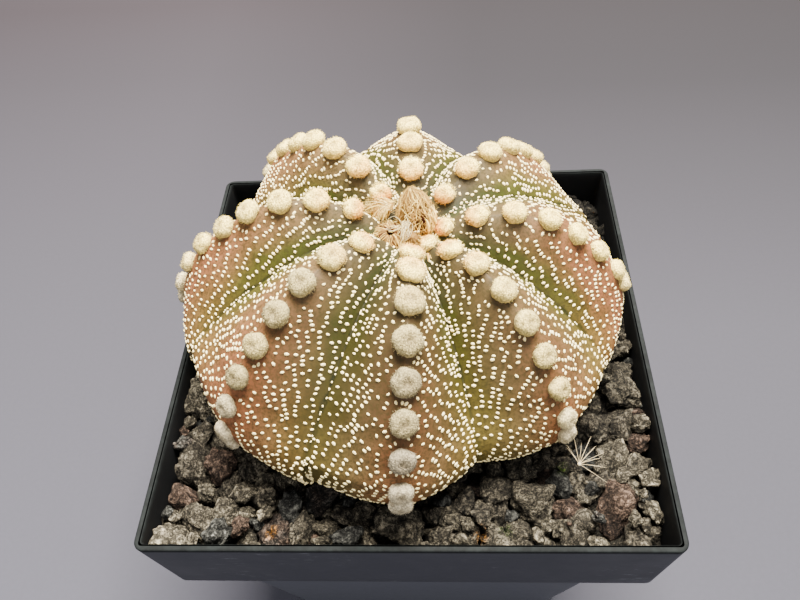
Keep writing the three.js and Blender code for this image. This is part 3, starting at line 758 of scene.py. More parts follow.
BUTTON_SECTORS = 28
BUTTON_PROFILE = np.array([
    (0.72, -0.45), (0.90, -0.10), (1.00, 0.22), (1.00, 0.48), (0.92, 0.72), (0.76, 0.90),
    (0.56, 1.00), (0.36, 1.00), (0.18, 0.93),
])
DIMPLE = 0.86
HAIRS_PER_AREOLE = 390
HAIR_LENGTH = 0.44
HAIR_THICKNESS = 0.06
HAIR_SUNK = 0.1
HAIR_PROFILE = np.array([
    (0, 0.86), (0.3, 0.98), (0.56, 1), (0.8, 0.88), (1.0, 0.5), (1.14, 0.1),
])
# How grey each rib's areoles are: partly weathering, partly painted shade on the front ribs,
# which face away from the light
RIB_AGE_AND_SHADE = np.array([1, 0.6, 0.1, 0.2, 0.2, 0.2, 0.3, 0.9])
WOOL_CREAM = (1.0, 0.76, 0.20)
WOOL_GREY = (0.178, 0.144, 0.086)
WOOL_PEACH = (0.74, 0.24, 0.004)
WOOL_SHADE = (0.13, 0.09, 0.045)
WOOL_PALE = (0.66, 0.55, 0.35)


def wool_grain_group():
    """The grain of matted wool: bright hair tips and dark gaps. Shade scales a colour, Height
    drives a bump, and Grain sets the size of one tip."""
    group = bpy.data.node_groups.new("wool_grain", "ShaderNodeTree")
    group.interface.new_socket("Grain", in_out="INPUT", socket_type="NodeSocketFloat")
    group.interface.new_socket("Shade", in_out="OUTPUT", socket_type="NodeSocketFloat")
    group.interface.new_socket("Height", in_out="OUTPUT", socket_type="NodeSocketFloat")
    entry = group.nodes.new("NodeGroupInput")
    leave = group.nodes.new("NodeGroupOutput")
    scale = maths(group, "DIVIDE", 1 / MM, entry.outputs["Grain"])
    where = node(group, "TexCoord", "Object")
    cells = node(group, "TexVoronoi", "Distance", {"feature": "F1"}, Vector=where, Scale=scale)
    fuzz = node(group, "TexNoise", "Fac", Vector=where, Scale=scale, Detail=3.0)
    tips = between(group, cells, 0.1, 0.75, 1, 0)
    height = sum_of(group, tips, fuzz)
    group.links.new(between(group, height, 0.45, 1.3, 0.56, 1.22), leave.inputs["Shade"])
    group.links.new(product(group, height, 0.5), leave.inputs["Height"])
    return group


wool_grain = wool_grain_group()


def grained(tree, group, **values):
    """Place a node group in a material with its own values, and return the placed node."""
    made = tree.nodes.new("ShaderNodeGroup")
    made.node_tree = group
    for name, value in values.items():
        feed(tree, made.inputs[name], value)
    return made


areole_wool, tree, wool = new_material(
    "areole_wool", Roughness=0.95, Specular_IOR_Level=0.1, Sheen_Weight=0.06, Sheen_Roughness=0.6,
)
grain = grained(tree, wool_grain, Grain=0.30)
aged = value_of(tree, "aged")
sunny = value_of(tree, "peach")
tip = value_of(tree, "tip")
colour = mixed(tree, aged, WOOL_CREAM, WOOL_GREY)
colour = mixed(tree, sunny, colour, WOOL_PEACH)
colour = mixed(tree, value_of(tree, "low"), colour, WOOL_PALE)
colour = mixed(tree, between(tree, tip, 0, 1, 0.75, 0.0), colour, WOOL_SHADE)
feed(tree, wool.inputs["Base Color"], shaded(tree, colour, grain.outputs["Shade"]))
feed(tree, wool.inputs["Normal"], bumped(tree, grain.outputs["Height"], 0.12))


def button_points(radius, height, axes, spot, random):
    """One areole's rings: the profile turned round the axis, its outline pulled about by a few low
    waves round the rim, its surface roughened, and the whole set on the skin."""
    turn = np.linspace(0, 2 * np.pi, BUTTON_SECTORS, endpoint=False)
    outline = 1 + sum(
        random.uniform(0.01, 0.05) / k ** 0.4 * np.sin(k * turn + random.uniform(0, 2 * np.pi))
        for k in range(2, 7)
    )
    out = BUTTON_PROFILE[:, :1] * radius * outline
    up = BUTTON_PROFILE[:, 1:] * height * np.ones_like(turn)
    local = np.stack([out * np.cos(turn), out * np.sin(turn), up], axis=-1)
    rough = waves(local + random.uniform(0, 50, 3), 0.9, 5) * 0.09
    local += rough[..., None] * np.stack([np.cos(turn), np.sin(turn), 0.8 + 0 * turn], axis=-1)
    rings = local @ axes.T + spot
    top = np.array([0, 0, DIMPLE * height]) @ axes.T + spot
    root = np.array([0, 0, BUTTON_PROFILE[0, 1] * height]) @ axes.T + spot
    return rings, root, top


def gathered(parts):
    """Many skins as one: their points in a row, and each one's faces moved on past the points of
    those before it."""
    points, quads, ends, before = [], [], [], 0
    for part in parts:
        points.append(part[0])
        quads.append(part[1] + before)
        ends.append(part[2] + before)
        before += len(part[0])
    return np.concatenate(points), np.concatenate(quads), np.concatenate(ends)


def spikes(roots, tips, thickness):
    """Thin three-sided spikes, each a closed tetrahedron from a small triangle at its root to its
    tip."""
    along = tips - roots
    along = along / np.linalg.norm(along, axis=1, keepdims=True)
    side = np.cross(along, np.where(np.abs(along[:, 2:]) < 0.9, (0.0, 0.0, 1.0), (1.0, 0.0, 0.0)))
    side /= np.linalg.norm(side, axis=1, keepdims=True)
    upper = np.cross(along, side)
    turn = np.arange(3) * 2 * np.pi / 3
    ring = np.cos(turn)[:, None] * side[:, None] + np.sin(turn)[:, None] * upper[:, None]
    base = roots[:, None] + thickness * ring
    points = np.concatenate([base, tips[:, None]], axis=1)
    corner = np.array([[0, 2, 1], [0, 1, 3], [1, 2, 3], [2, 0, 3]])
    faces = corner[None] + 4 * np.arange(len(roots))[:, None, None]
    return points.reshape(-1, 3), faces.reshape(-1, 3)


def button_hairs(radius, height, young, random):
    """Where one areole's hairs leave its top, from the dimple to just past the rim, and where they
    end. They stand upright in the middle and lean out at the rim, where young ones are longer."""
    turn = random.uniform(0, 2 * np.pi, HAIRS_PER_AREOLE)
    ring = np.sqrt(random.uniform(0.02, 1.3, HAIRS_PER_AREOLE))
    out = np.minimum(ring, 1.0) * radius * 0.96
    up = np.interp(ring, HAIR_PROFILE[:, 0], HAIR_PROFILE[:, 1] * height)
    flat = np.stack([np.cos(turn), np.sin(turn), 0 * turn], axis=1)
    roots = flat * out[:, None] + np.stack([0 * up, 0 * up, up - HAIR_SUNK], axis=1)
    way = flat * (0.15 + ring[:, None] ** 3) + [0, 0, 0.9]
    way += random.normal(0, 0.28, way.shape)
    way /= np.linalg.norm(way, axis=1, keepdims=True)
    length = HAIR_LENGTH * random.uniform(0.6, 1.2, HAIRS_PER_AREOLE)
    length *= 1 + 0.8 * young * (ring > 0.8)
    return roots, roots + way * length[:, None]


# Wool greys with ageing down each rib, and more on the front ribs, where the grey is partly painted
# shade. It is pale near the gravel, and is still peach on the side of the youngest areoles that
# faces the crown
random = np.random.default_rng(21)
areole_axes = stem_axes(areole_heading, areole_angle)
buttons, hair_roots, hair_tips = [], [], []
button_values = {"aged": [], "low": [], "peach": [], "tip": []}
hair_values = {"aged": [], "low": [], "peach": []}
for number, spot in enumerate(areole_spot):
    axes, radius, height = areole_axes[number], areole_radius[number], areole_height[number]
    angle = areole_angle[number]
    part = skin_over(*button_points(radius, height, axes, spot, random))
    buttons.append(part)
    local = (part[0] - spot) @ axes
    age = RIB_AGE_AND_SHADE[int(areole_rib[number])] * smooth_step(18, 48, angle) * random.uniform(0.75, 1)
    low = 0.85 * smooth_step(70, 92, angle)
    young = 1 - smooth_step(14, 44, angle)
    inner = smooth_step(-0.9, 0.6, -local[:, 0] / radius) * young * random.uniform(0.6, 1.0)
    middle = np.exp(-((np.hypot(local[:, 0], local[:, 1]) / (0.35 * radius)) ** 2))
    button_values["peach"].append(inner)
    # Painted shade in the dimple and round the button's foot; the hairs get it at their roots
    button_values["tip"].append(1 - 0.8 * middle - 0.5 * (local[:, 2] < 0.25 * height))
    roots, tips = button_hairs(radius, height, young, random)
    hair_roots.append(roots @ axes.T + spot)
    hair_tips.append(tips @ axes.T + spot)
    hair_values["peach"].append(smooth_step(-0.5, 0.7, -roots[:, 0] / radius) * young * 0.8)
    for values, count in ((button_values, len(local)), (hair_values, HAIRS_PER_AREOLE)):
        values["aged"].append(np.full(count, age))
        values["low"].append(np.full(count, low))

areoles = new_object("areoles", new_mesh("areoles", *gathered(buttons)), areole_wool)
add_values(areoles, **{name: np.concatenate(parts) for name, parts in button_values.items()})
finish_piece(areoles, "plant_wool", "cactus")
hair_mesh = new_mesh(
    "areole_hairs",
    *spikes(np.concatenate(hair_roots), np.concatenate(hair_tips), HAIR_THICKNESS),
)
bristle = new_object("areole_hairs", hair_mesh, areole_wool)
add_values(
    bristle, tip=np.tile([0.5, 0.5, 0.5, 1.0], len(areole_spot) * HAIRS_PER_AREOLE),
    **{name: np.repeat(np.concatenate(parts), 4) for name, parts in hair_values.items()},
)
finish_piece(bristle, "plant_wool", "cactus")


# The flecks: thousands of tiny cushions of white felt on the skin. They grow in short strings that
# leave the crest sideways and turn down along the groove, and they ring the bare skin round each
# areole.

FLECK_LONG = 0.385
FLECK_WIDE = 0.25
FLECK_HIGH = 0.17
FLECK_SUNK = 0.12
FLECK_SIDES = 6
SEED_ALONG = 1.9
SEED_ASIDE = 1.16
STRING_STEP = 0.90
STRING_COUNTS = (1, 2, 3, 4, 5)
STRING_ODDS = (0.28, 0.32, 0.22, 0.12, 0.06)
FILL_GAP = 1.22
GROOVE_BARE = 0.5
CLOSEST = 0.74
BARE_RING = 0.95
SEED_TRIES = 2600
FILL_TRIES = 2400
FOOT_FELT = 30
GROOVE_TUFTS = 60
TUFT_SHRINK = 0.62
FLECK_WHITE = (1.0, 0.81, 0.39)


class Flank:
    """One side of a rib, laid flat: x runs across from the crest, y runs down it, in millimetres."""

    def __init__(self, crest, groove):
        self.crest, self.reach = crest, groove - crest
        self.angle = np.arange(6, 112, 1.0)
        ridge = stem_place(crest, self.angle)
        steps = np.linalg.norm(np.diff(ridge, axis=0), axis=1)
        self.length = np.concatenate([[0], np.cumsum(steps)])
        share = np.linspace(0, 1, 9)
        row = stem_place(crest + self.reach * share[None], self.angle[:, None])
        self.width = np.linalg.norm(np.diff(row, axis=1), axis=2).sum(axis=1)

    def width_at(self, y):
        """How wide the flank is at a distance down its crest."""
        return np.interp(y, self.length, self.width)

    def on_stem(self, x, y):
        """Heading and angle of flat places."""
        angle = np.interp(y, self.length, self.angle)
        return self.crest + self.reach * np.clip(x / self.width_at(y), 0, 1), angle


def flow(x, y, width, buttons_y, halo):
    """The way that a string runs at a flat place, as an angle from straight across, 0, to straight
    down, 90 degrees: it turns down towards the groove, and circles an areole close by."""
    way = np.radians(18 + 66 * (x / width) ** 0.8)
    gap = y[..., None] - buttons_y
    near = np.argmin(np.abs(gap), axis=-1)
    dy = np.take_along_axis(gap, near[..., None], axis=-1)[..., 0]
    distance = np.hypot(x, dy)
    circling = np.arctan2(x, -dy)
    close = 1 - smooth_step(halo * 1.1, halo * 1.8, distance)
    return way * (1 - close) + circling * close


def scatter(flank, buttons_y, buttons_radius, random):
    """Places and directions of one flank's flecks, laid flat. Seeds are thrown at random and kept
    where no kept seed lies inside an ellipse drawn out along the string, and each seed then grows
    a short string of flecks along the flow."""
    bottom = flank.length[-1]
    x = random.uniform(0, flank.width.max(), SEED_TRIES)
    y = random.uniform(0, bottom, SEED_TRIES)
    width = flank.width_at(y)
    inside = x < width - 0.15
    x, y, width = x[inside], y[inside], width[inside]
    halo = np.interp(y, buttons_y, buttons_radius + BARE_RING)
    way = flow(x, y, width, buttons_y, halo)
    kept = np.empty((0, 2))
    chosen = []
    ahead = np.stack([np.cos(way), np.sin(way)], axis=1)
    aside = np.stack([-ahead[:, 1], ahead[:, 0]], axis=1)
    places = np.stack([x, y], axis=1)
    tight = 0.76 + 0.24 * smooth_step(8, 24, y)
    for i in range(len(x)):
        gap = kept - places[i]
        along, beside = gap @ ahead[i] / SEED_ALONG, gap @ aside[i] / SEED_ASIDE
        along, beside = along / tight[i], beside / tight[i]
        if not (along ** 2 + beside ** 2 < 1).any():
            kept = np.append(kept, places[i:i + 1], axis=0)
            chosen.append(i)
    count = random.choice(STRING_COUNTS, len(chosen), p=STRING_ODDS)
    flecks = []
    for i, n in zip(chosen, count):
        step = STRING_STEP * random.uniform(0.88, 1.2)
        offset = (np.arange(n) - (n - 1) / 2) * step
        bend = 0.05 * random.normal() * offset ** 2
        spot = places[i] + offset[:, None] * ahead[i] + bend[:, None] * aside[i]
        spot += random.normal(0, 0.05, spot.shape)
        flecks.append(np.concatenate([spot, np.full((n, 1), way[i])], axis=1))
    flecks = np.concatenate(flecks)
    x, y = flecks[:, 0], flecks[:, 1]
    width = flank.width_at(y)
    gap = np.hypot(x[:, None], y[:, None] - buttons_y)
    ring = BARE_RING * random.uniform(0.25, 1.2, (len(x), 1))
    clear = (gap > buttons_radius * 1.02 + ring).all(axis=1)
    bare = GROOVE_BARE * smooth_step(10, 20, y) * (1 - smooth_step(40, 52, y))
    keep = clear & (x > 0.25) & (x < width - 0.05 - bare) & (y > 0.3) & (y < bottom)
    flecks = flecks[keep]
    apart = np.linalg.norm(flecks[:, None, :2] - flecks[None, :, :2], axis=2)
    closest = CLOSEST + 0.1 * (1 - smooth_step(6, 18, flecks[:, 1]))
    crowded = np.triu(apart < closest, 1).any(axis=0)
    return filled(flecks[~crowded], flank, buttons_y, buttons_radius, random)


def filled(flecks, flank, buttons_y, buttons_radius, random):
    """One flank's flecks, with single ones added where the skin is left bare."""
    x = random.uniform(0.4, flank.width.max(), FILL_TRIES)
    y = random.uniform(1, flank.length[-1], FILL_TRIES)
    width = flank.width_at(y)
    gap = np.hypot(x[:, None], y[:, None] - buttons_y) - buttons_radius
    open_skin = (gap > BARE_RING + 0.2).all(axis=1) & (x < width - 1.1)
    x, y, width = x[open_skin], y[open_skin], width[open_skin]
    way = flow(x, y, width, buttons_y, np.interp(y, buttons_y, buttons_radius + BARE_RING))
    for single in np.stack([x, y, way], axis=1):
        gap = FILL_GAP * (0.80 + 0.20 * smooth_step(8, 24, single[1]))
        if (np.hypot(*(flecks[:, :2] - single[:2]).T) > gap).all():
            flecks = np.append(flecks, single[None], axis=0)
    return flecks


random = np.random.default_rng(4)
heading, angle, turn_to = [], [], []
for rib in range(RIBS):
    mine = areole_rib == rib
    left_groove = GROOVE_HEADING[rib - 1] - (360 if rib == 0 else 0)
    for groove in (GROOVE_HEADING[rib], left_groove):
        flank = Flank(CREST_HEADING[rib], groove)
        buttons_y = np.interp(areole_angle[mine], flank.angle, flank.length)
        flecks = scatter(flank, buttons_y, areole_radius[mine], random)
        h, a = flank.on_stem(flecks[:, 0], flecks[:, 1])
        heading.append(h)
        angle.append(a)
        side = np.sign(flank.reach)
        turn_to.append(np.arctan2(side * np.cos(flecks[:, 2]), np.sin(flecks[:, 2])))
# Felt has gathered thickly at the foot of the front left groove
heading.append(GROOVE_HEADING[7] + random.normal(0, 1.2, FOOT_FELT))
angle.append(random.uniform(84, 98, FOOT_FELT))
turn_to.append(random.normal(0, 0.6, FOOT_FELT) + np.pi / 2)
# A broken line of smaller tufts also fills the bottom of every groove
for groove in GROOVE_HEADING:
    a = 12 + 92 * np.sort(random.uniform(0, 1, GROOVE_TUFTS)) ** 1.3
    heading.append(groove + random.normal(0, 0.5, GROOVE_TUFTS) * 20 / a)
    angle.append(a)
    turn_to.append(random.normal(0, 0.3, GROOVE_TUFTS) + np.pi / 2)
tuft_count = GROOVE_TUFTS * len(GROOVE_HEADING)
heading, angle, turn_to = (np.concatenate(v) for v in (heading, angle, turn_to))


def fleck_shapes(size, random):
    """Low cushions: two rings and a top over an oval outline, each a little uneven. Local x runs
    along the string, so the oval's long side lies along y."""
    count = len(size)
    turn = np.linspace(0, 2 * np.pi, FLECK_SIDES, endpoint=False)
    uneven = 1 + random.uniform(-0.11, 0.11, (count, FLECK_SIDES))
    oval = np.stack([FLECK_WIDE * np.cos(turn), FLECK_LONG * np.sin(turn)], axis=-1)
    oval = oval * uneven[..., None] * size[:, None, None]
    levels = [(1.12, -FLECK_SUNK), (0.82, 0.76 * FLECK_HIGH)]
    rings = [
        np.concatenate([oval * out, np.full((count, FLECK_SIDES, 1), up)], axis=2)
        for out, up in levels
    ]
    pole = np.zeros((count, 2, 3))
    pole[:, 0, 2] = -FLECK_SUNK
    pole[:, 1, 2] = FLECK_HIGH
    return np.concatenate([*rings, pole], axis=1)


def spun(axes, turn):
    """Axes turned about their own third column."""
    c, s = np.cos(turn)[:, None], np.sin(turn)[:, None]
    first = c * axes[:, :, 0] + s * axes[:, :, 1]
    second = c * axes[:, :, 1] - s * axes[:, :, 0]
    return np.stack([first, second, axes[:, :, 2]], axis=-1)


size = random.uniform(0.8, 1.15, len(heading)) * (0.84 + 0.16 * smooth_step(20, 42, angle))
size[-tuft_count:] *= TUFT_SHRINK
local = fleck_shapes(size, random)
# Near the crown a fleck's long side lies along its string, and farther down it lies across
lengthwise = 1 - smooth_step(30, 46, angle + random.normal(0, 6, len(heading)))
turn_to = turn_to + np.pi / 2 * lengthwise + random.normal(0, 0.25, len(heading))
axes = spun(stem_axes(heading, angle), turn_to)
_, _, across = rib_place(heading)
lift, _ = skin_lift(stem_place(heading, angle), across)
seat = stem_place(heading, angle, lift)
points = np.einsum("nij,nkj->nki", axes, local) + seat[:, None]
one = skin_over(np.zeros((2, FLECK_SIDES, 3)), (0, 0, 0), (0, 0, 0))
step = (2 * FLECK_SIDES + 2) * np.arange(len(heading))[:, None, None]
quads = (one[1][None] + step).reshape(-1, 4)
ends = (one[2][None] + step).reshape(-1, 3)

fleck_felt, tree, felt = new_material("fleck_felt", Roughness=0.95, Specular_IOR_Level=0.1)
grain = grained(tree, wool_grain, Grain=0.14)
feed(tree, felt.inputs["Base Color"], shaded(tree, FLECK_WHITE, grain.outputs["Shade"]))
feed(tree, felt.inputs["Normal"], bumped(tree, grain.outputs["Height"], 0.05))
flecks = new_object("white_flecks", new_mesh("white_flecks", points, quads, ends), fleck_felt)
finish_piece(flecks, "plant_wool", "cactus")


# The crown: what is left of two old flowers, and the wool that they grew from. The tall one is a
# twisted, hairy tube; the low one has fallen open; a pale tuft fans out beside them. All three are
# dry tissue that still clings to the sunken top of the stem.

CROWN_CENTRE = np.array([1.7, 2.6, POT_HEIGHT + 22])
PETAL_STRAW = (0.64, 0.36, 0.085)
PETAL_BROWN = (0.075, 0.034, 0.007)
PETAL_PALE = (1.0, 0.73, 0.20)
THREAD_WHITE = (0.92, 0.80, 0.52)
HOLE_RED = (0.030, 0.005, 0.003)
BODY_COLUMNS, BODY_ROWS = 96, 40
STRIP_STEPS = 12
STRIP_SHARE = np.linspace(0, 1, STRIP_STEPS)


def standing(foot, lean):
    """The axes of something that stands on a foot and leans: turned about X, then about Y."""
    a, b = lean
    about_x = np.array([[1, 0, 0], [0, np.cos(a), -np.sin(a)], [0, np.sin(a), np.cos(a)]])
    about_y = np.array([[np.cos(b), 0, np.sin(b)], [0, 1, 0], [-np.sin(b), 0, np.cos(b)]])
    return about_y @ about_x, CROWN_CENTRE + np.array(foot)


def ribbons(paths, width, thick):
    """Thin dry strips along paths, given as an array of strips, steps and coordinates. A strip's
    section is a flat triangle: two edges beside the path and a ridge above it, and its width
    tapers from root to tip as the square root of a parabola."""
    count, steps = paths.shape[:2]
    along = np.gradient(paths, axis=1)
    along /= np.linalg.norm(along, axis=2, keepdims=True)
    outward = paths - paths.mean(axis=(0, 1))
    beside = np.cross(along, outward)
    beside /= np.linalg.norm(beside, axis=2, keepdims=True) + 1e-9
    above = np.cross(beside, along)
    t = np.linspace(0, 1, steps)
    taper = np.sqrt(np.clip(1 - (1.15 * t - 0.15) ** 2, 0.02, 1))[None, :, None]
    w = np.reshape(width, (-1, 1, 1)) * taper
    h = np.reshape(thick, (-1, 1, 1)) * taper
    rings = np.stack([paths - w * beside, paths + w * beside, paths + h * above], axis=2)
    points = rings.reshape(count, steps * 3, 3)
    i, j = np.meshgrid(np.arange(steps - 1), np.arange(3), indexing="ij")
    k = (j + 1) % 3
    quads = np.stack([3 * i + j, 3 * i + k, 3 * i + 3 + k, 3 * i + 3 + j], axis=-1).reshape(-1, 4)
    last = 3 * (steps - 1)
    ends = np.array([[0, 2, 1], [last, last + 1, last + 2]])
    step = (3 * steps) * np.arange(count)[:, None, None]
    quads, ends = (quads[None] + step).reshape(-1, 4), (ends[None] + step).reshape(-1, 3)
    return points.reshape(-1, 3), quads, ends


dry_petal, tree, petal = new_material("dry_petal", Roughness=0.8, Specular_IOR_Level=0.1)
spot = place_in(tree)
kind = value_of(tree, "kind")
streak = noise(tree, spot, 0.35, 3, 0.65)
colour = mixed(tree, between(tree, kind, 0.0, 0.5), PETAL_BROWN, PETAL_STRAW)
colour = mixed(tree, between(tree, kind, 0.5, 1.0), colour, PETAL_PALE)
colour = mixed(tree, between(tree, kind, 1.0, 1.25), colour, THREAD_WHITE)
colour = mixed(tree, value_of(tree, "dark"), colour, HOLE_RED)
colour = shaded(tree, colour, between(tree, streak, 0.3, 0.7, 0.7, 1.2))
feed(tree, petal.inputs["Base Color"], colour)
feed(tree, petal.inputs["Normal"], bumped(tree, streak, 0.08))

random = np.random.default_rng(12)


def around(outline, level, turn, rise, out=1.0):
    """A place on a dry flower's body: at each share of its rise, the outline gives the reach from
    its axis and the level gives the height, and the reach is folded round the axis."""
    fold = 1 + 0.05 * np.cos(9 * turn + 5 * rise) + 0.03 * np.cos(17 * turn - 7 * rise + 1.3)
    reach = smooth_curve(outline, np.clip(rise, 0, 1)) * fold * out
    height = smooth_curve(level, np.clip(rise, 0, 1)) + 0.8 * (out - 1)
    return np.stack([reach * np.cos(turn), reach * np.sin(turn), height], axis=-1)


def hair_paths(outline, level, count, rise, climb, sweep, lift, flare):
    """Paths of hairs that hug a dry flower's body. Rise, climb, sweep, lift and flare are low and
    high limits: where a hair starts, how far it climbs and turns, how far it stands off, and how
    far its tip lifts away."""
    start = random.uniform(0, 2 * np.pi, (count, 1))
    rise, climb, sweep, lift, flare = (
        random.uniform(*limits, (count, 1)) for limits in (rise, climb, sweep, lift, flare)
    )
    wave = 0.08 * random.normal(size=(count, 1)) * np.sin(2 * np.pi * STRIP_SHARE)
    turn = start + sweep * STRIP_SHARE + wave
    off = lift + flare * STRIP_SHARE ** 3
    return around(outline, level, turn, rise + climb * STRIP_SHARE, off), start[:, 0]


def straight(start, stop):
    """Straight paths from each start to its stop."""
    return start[:, None] + (stop - start)[:, None] * STRIP_SHARE[None, :, None]


def dry_body(name, outline, level, axes, foot, darkness, tone, slot, node_name):
    """A flower's closed body, with its darkness and tone given by functions of turn and rise."""
    turns = np.linspace(0, 2 * np.pi, BODY_COLUMNS, endpoint=False)
    turn, rise = np.meshgrid(turns, np.linspace(0, 1, BODY_ROWS))
    body = around(outline, level, turn, rise)
    body += 0.07 * waves(body, 1.0, 31)[..., None]
    ends = [np.array([0, 0, z]) @ axes.T + foot for z in (level[0, 1], level[-1, 1])]
    made = new_object(name, new_mesh(name, *skin_over(body @ axes.T + foot, *ends)), dry_petal)
    add_values(
        made, kind=with_poles(tone(turn, rise), 0.2, 0.2),
        dark=with_poles(darkness(turn, rise), 0.5, darkness(0.0, 1.0)),
    )
    finish_piece(made, slot, node_name)


def dry_hairs(name, paths, width, tone, dark, slot, node_name):
    """One piece of many hairs or strips, each with its own width, tone and darkness."""
    made = new_object(name, new_mesh(name, *ribbons(paths, width, 0.5 * width)), dry_petal)
    add_values(made, kind=np.repeat(tone, 3 * STRIP_STEPS), dark=np.repeat(dark, 3 * STRIP_STEPS))
    finish_piece(made, slot, node_name)


def near_turn(turn, centre, reach):
    """1 at a turn round the axis, fading to 0 past a reach on both sides."""
    gap = np.mod(turn - centre + np.pi, 2 * np.pi) - np.pi
    return np.exp(-((gap / reach) ** 2))


# Tall flower: a closed, egg-shaped withered tube under a net of hairs, darkest where the net is
# thin on its front right
TALL_FOOT, TALL_LEAN = (1.2, 0.5, 0.4), (-0.34, -0.10)
TALL_OUTLINE = np.array([(0, 1.7), (0.2, 2.7), (0.42, 3.1), (0.65, 2.75), (0.85, 1.8), (1, 0.4)])
TALL_LEVEL = np.array([(0, 0.0), (0.5, 4.5), (1, 9.4)])
TALL_HAIRS, TALL_FUZZ, TALL_STRIPS = 450, 220, 26
axes, foot = standing(TALL_FOOT, TALL_LEAN)


def thin_net(turn, rise):
    """How thin the tall flower's net of hairs is, from 0 to 1."""
    return near_turn(turn, np.radians(-55), 0.85) * np.exp(-(((rise - 0.48) / 0.28) ** 2))


dry_body(
    "tall_flower_tube", TALL_OUTLINE, TALL_LEVEL, axes, foot,
    lambda turn, rise: 0.9 * thin_net(turn, rise),
    lambda turn, rise: 0.07 - 0.07 * thin_net(turn, rise), "withered_petal", "dried_flower_tall",
)
paths, start = hair_paths(
    TALL_OUTLINE, TALL_LEVEL, TALL_HAIRS, rise=(0.0, 0.8), climb=(0.12, 0.5), sweep=(-0.9, 0.9),
    lift=(1.02, 1.12), flare=(0.0, 0.14),
)
middle = 0.5 * (paths[:, 0, 2] + paths[:, -1, 2]) / TALL_LEVEL[-1, 1]
thin = thin_net(start, middle)
kept = random.uniform(size=len(paths)) > 0.6 * thin
tone = np.clip(random.normal(0.60, 0.34, len(paths)) - 0.20 * thin, 0.0, 1.0)
fuzz, _ = hair_paths(
    TALL_OUTLINE, TALL_LEVEL, TALL_FUZZ, rise=(0.05, 0.85), climb=(0.04, 0.25), sweep=(-0.5, 0.5),
    lift=(1.0, 1.05), flare=(0.2, 0.5),
)
film, _ = hair_paths(
    TALL_OUTLINE, TALL_LEVEL, TALL_STRIPS, rise=(0.0, 0.2), climb=(0.3, 0.55), sweep=(-0.3, 0.3),
    lift=(1.06, 1.16), flare=(0.0, 0.05),
)
# The broad strips are turned about the axis, so that they all hug its right side
to_right = random.uniform(-0.75, 0.15, len(film)) - np.arctan2(film[:, 0, 1], film[:, 0, 0])
c, s = np.cos(to_right)[:, None], np.sin(to_right)[:, None]
x, y = film[:, :, 0], film[:, :, 1]
film[:, :, 0], film[:, :, 1] = c * x - s * y, s * x + c * y
all_paths = np.concatenate([paths[kept], fuzz, film]) @ axes.T + foot
width = np.concatenate([
    random.uniform(0.03, 0.075, kept.sum()), random.uniform(0.02, 0.032, len(fuzz)),
    random.uniform(0.15, 0.42, len(film)),
])
tone = np.concatenate([
    tone[kept], random.uniform(0.55, 0.9, len(fuzz)), random.uniform(0.7, 1.0, len(film)),
])
# Loose scales lie beside it: a dark red and a yellow one behind, and an orange one in front
SCALE_FROM = np.array([(-3.2, 6.6, 5.6), (-2.9, 6.0, 5.6), (3.0, -5.2, 2.2), (3.3, -5.5, 2.0)])
SCALE_TO = np.array([(-2.9, 7.7, 5.5), (-2.5, 6.9, 5.2), (3.0, -6.4, 1.5), (3.7, -6.5, 1.6)])
SCALE_TONE, SCALE_DARK = np.array([0.3, 0.95, 0.45, 0.7]), np.array([0.75, 0, 0, 0])
all_paths = np.concatenate([all_paths, straight(SCALE_FROM, SCALE_TO) + CROWN_CENTRE])
width = np.append(width, [0.34, 0.30, 0.34, 0.26])
dark = np.append(0 * tone, SCALE_DARK)
tone = np.append(tone, SCALE_TONE)
dry_hairs(
    "tall_flower_hairs", all_paths, width, tone, dark, "withered_petal", "dried_flower_tall"
)

# Low flower: a collapsed bulb, open at the top in a dark red hole, with a smaller lobe beside it.
# The hole is painted on its closed body: the dark red inside with painted shade
LOW_FOOT, LOW_LEAN = (-3.9, -1.9, 1.0), (0.16, 0.14)
LOW_OUTLINE = np.array([(0, 2.2), (0.25, 2.9), (0.5, 2.6), (0.72, 1.5), (0.86, 0.6), (1, 0.3)])
LOW_LEVEL = np.array([(0, -0.6), (0.25, 1.2), (0.5, 2.9), (0.72, 3.9), (0.86, 3.9), (1, 2.2)])
LOBE_FOOT, LOBE_LEAN = (0.1, -2.4, 1.2), (0.30, 0.10)
LOBE_OUTLINE = np.array([(0, 1.2), (0.3, 1.55), (0.6, 1.45), (0.85, 0.9), (1, 0.3)])
LOBE_LEVEL = np.array([(0, 0.0), (0.5, 1.9), (1, 3.6)])
LOW_HAIRS, LOBE_HAIRS, LOBE_STRIPS, THREADS = 230, 210, 16, 34
low_axes, low_foot = standing(LOW_FOOT, LOW_LEAN)


def torn(turn, rise):
    """The low flower's hole and the gaps that run down from it, painted on its closed body: the dark
    red of its inside, with painted shade."""
    gaps = np.clip(np.cos(5 * turn + 0.8) + 0.3 * np.cos(11 * turn), 0, 1) ** 1.5
    return np.maximum(smooth_step(0.8, 0.9, rise), gaps * smooth_step(0.2, 0.6, rise))


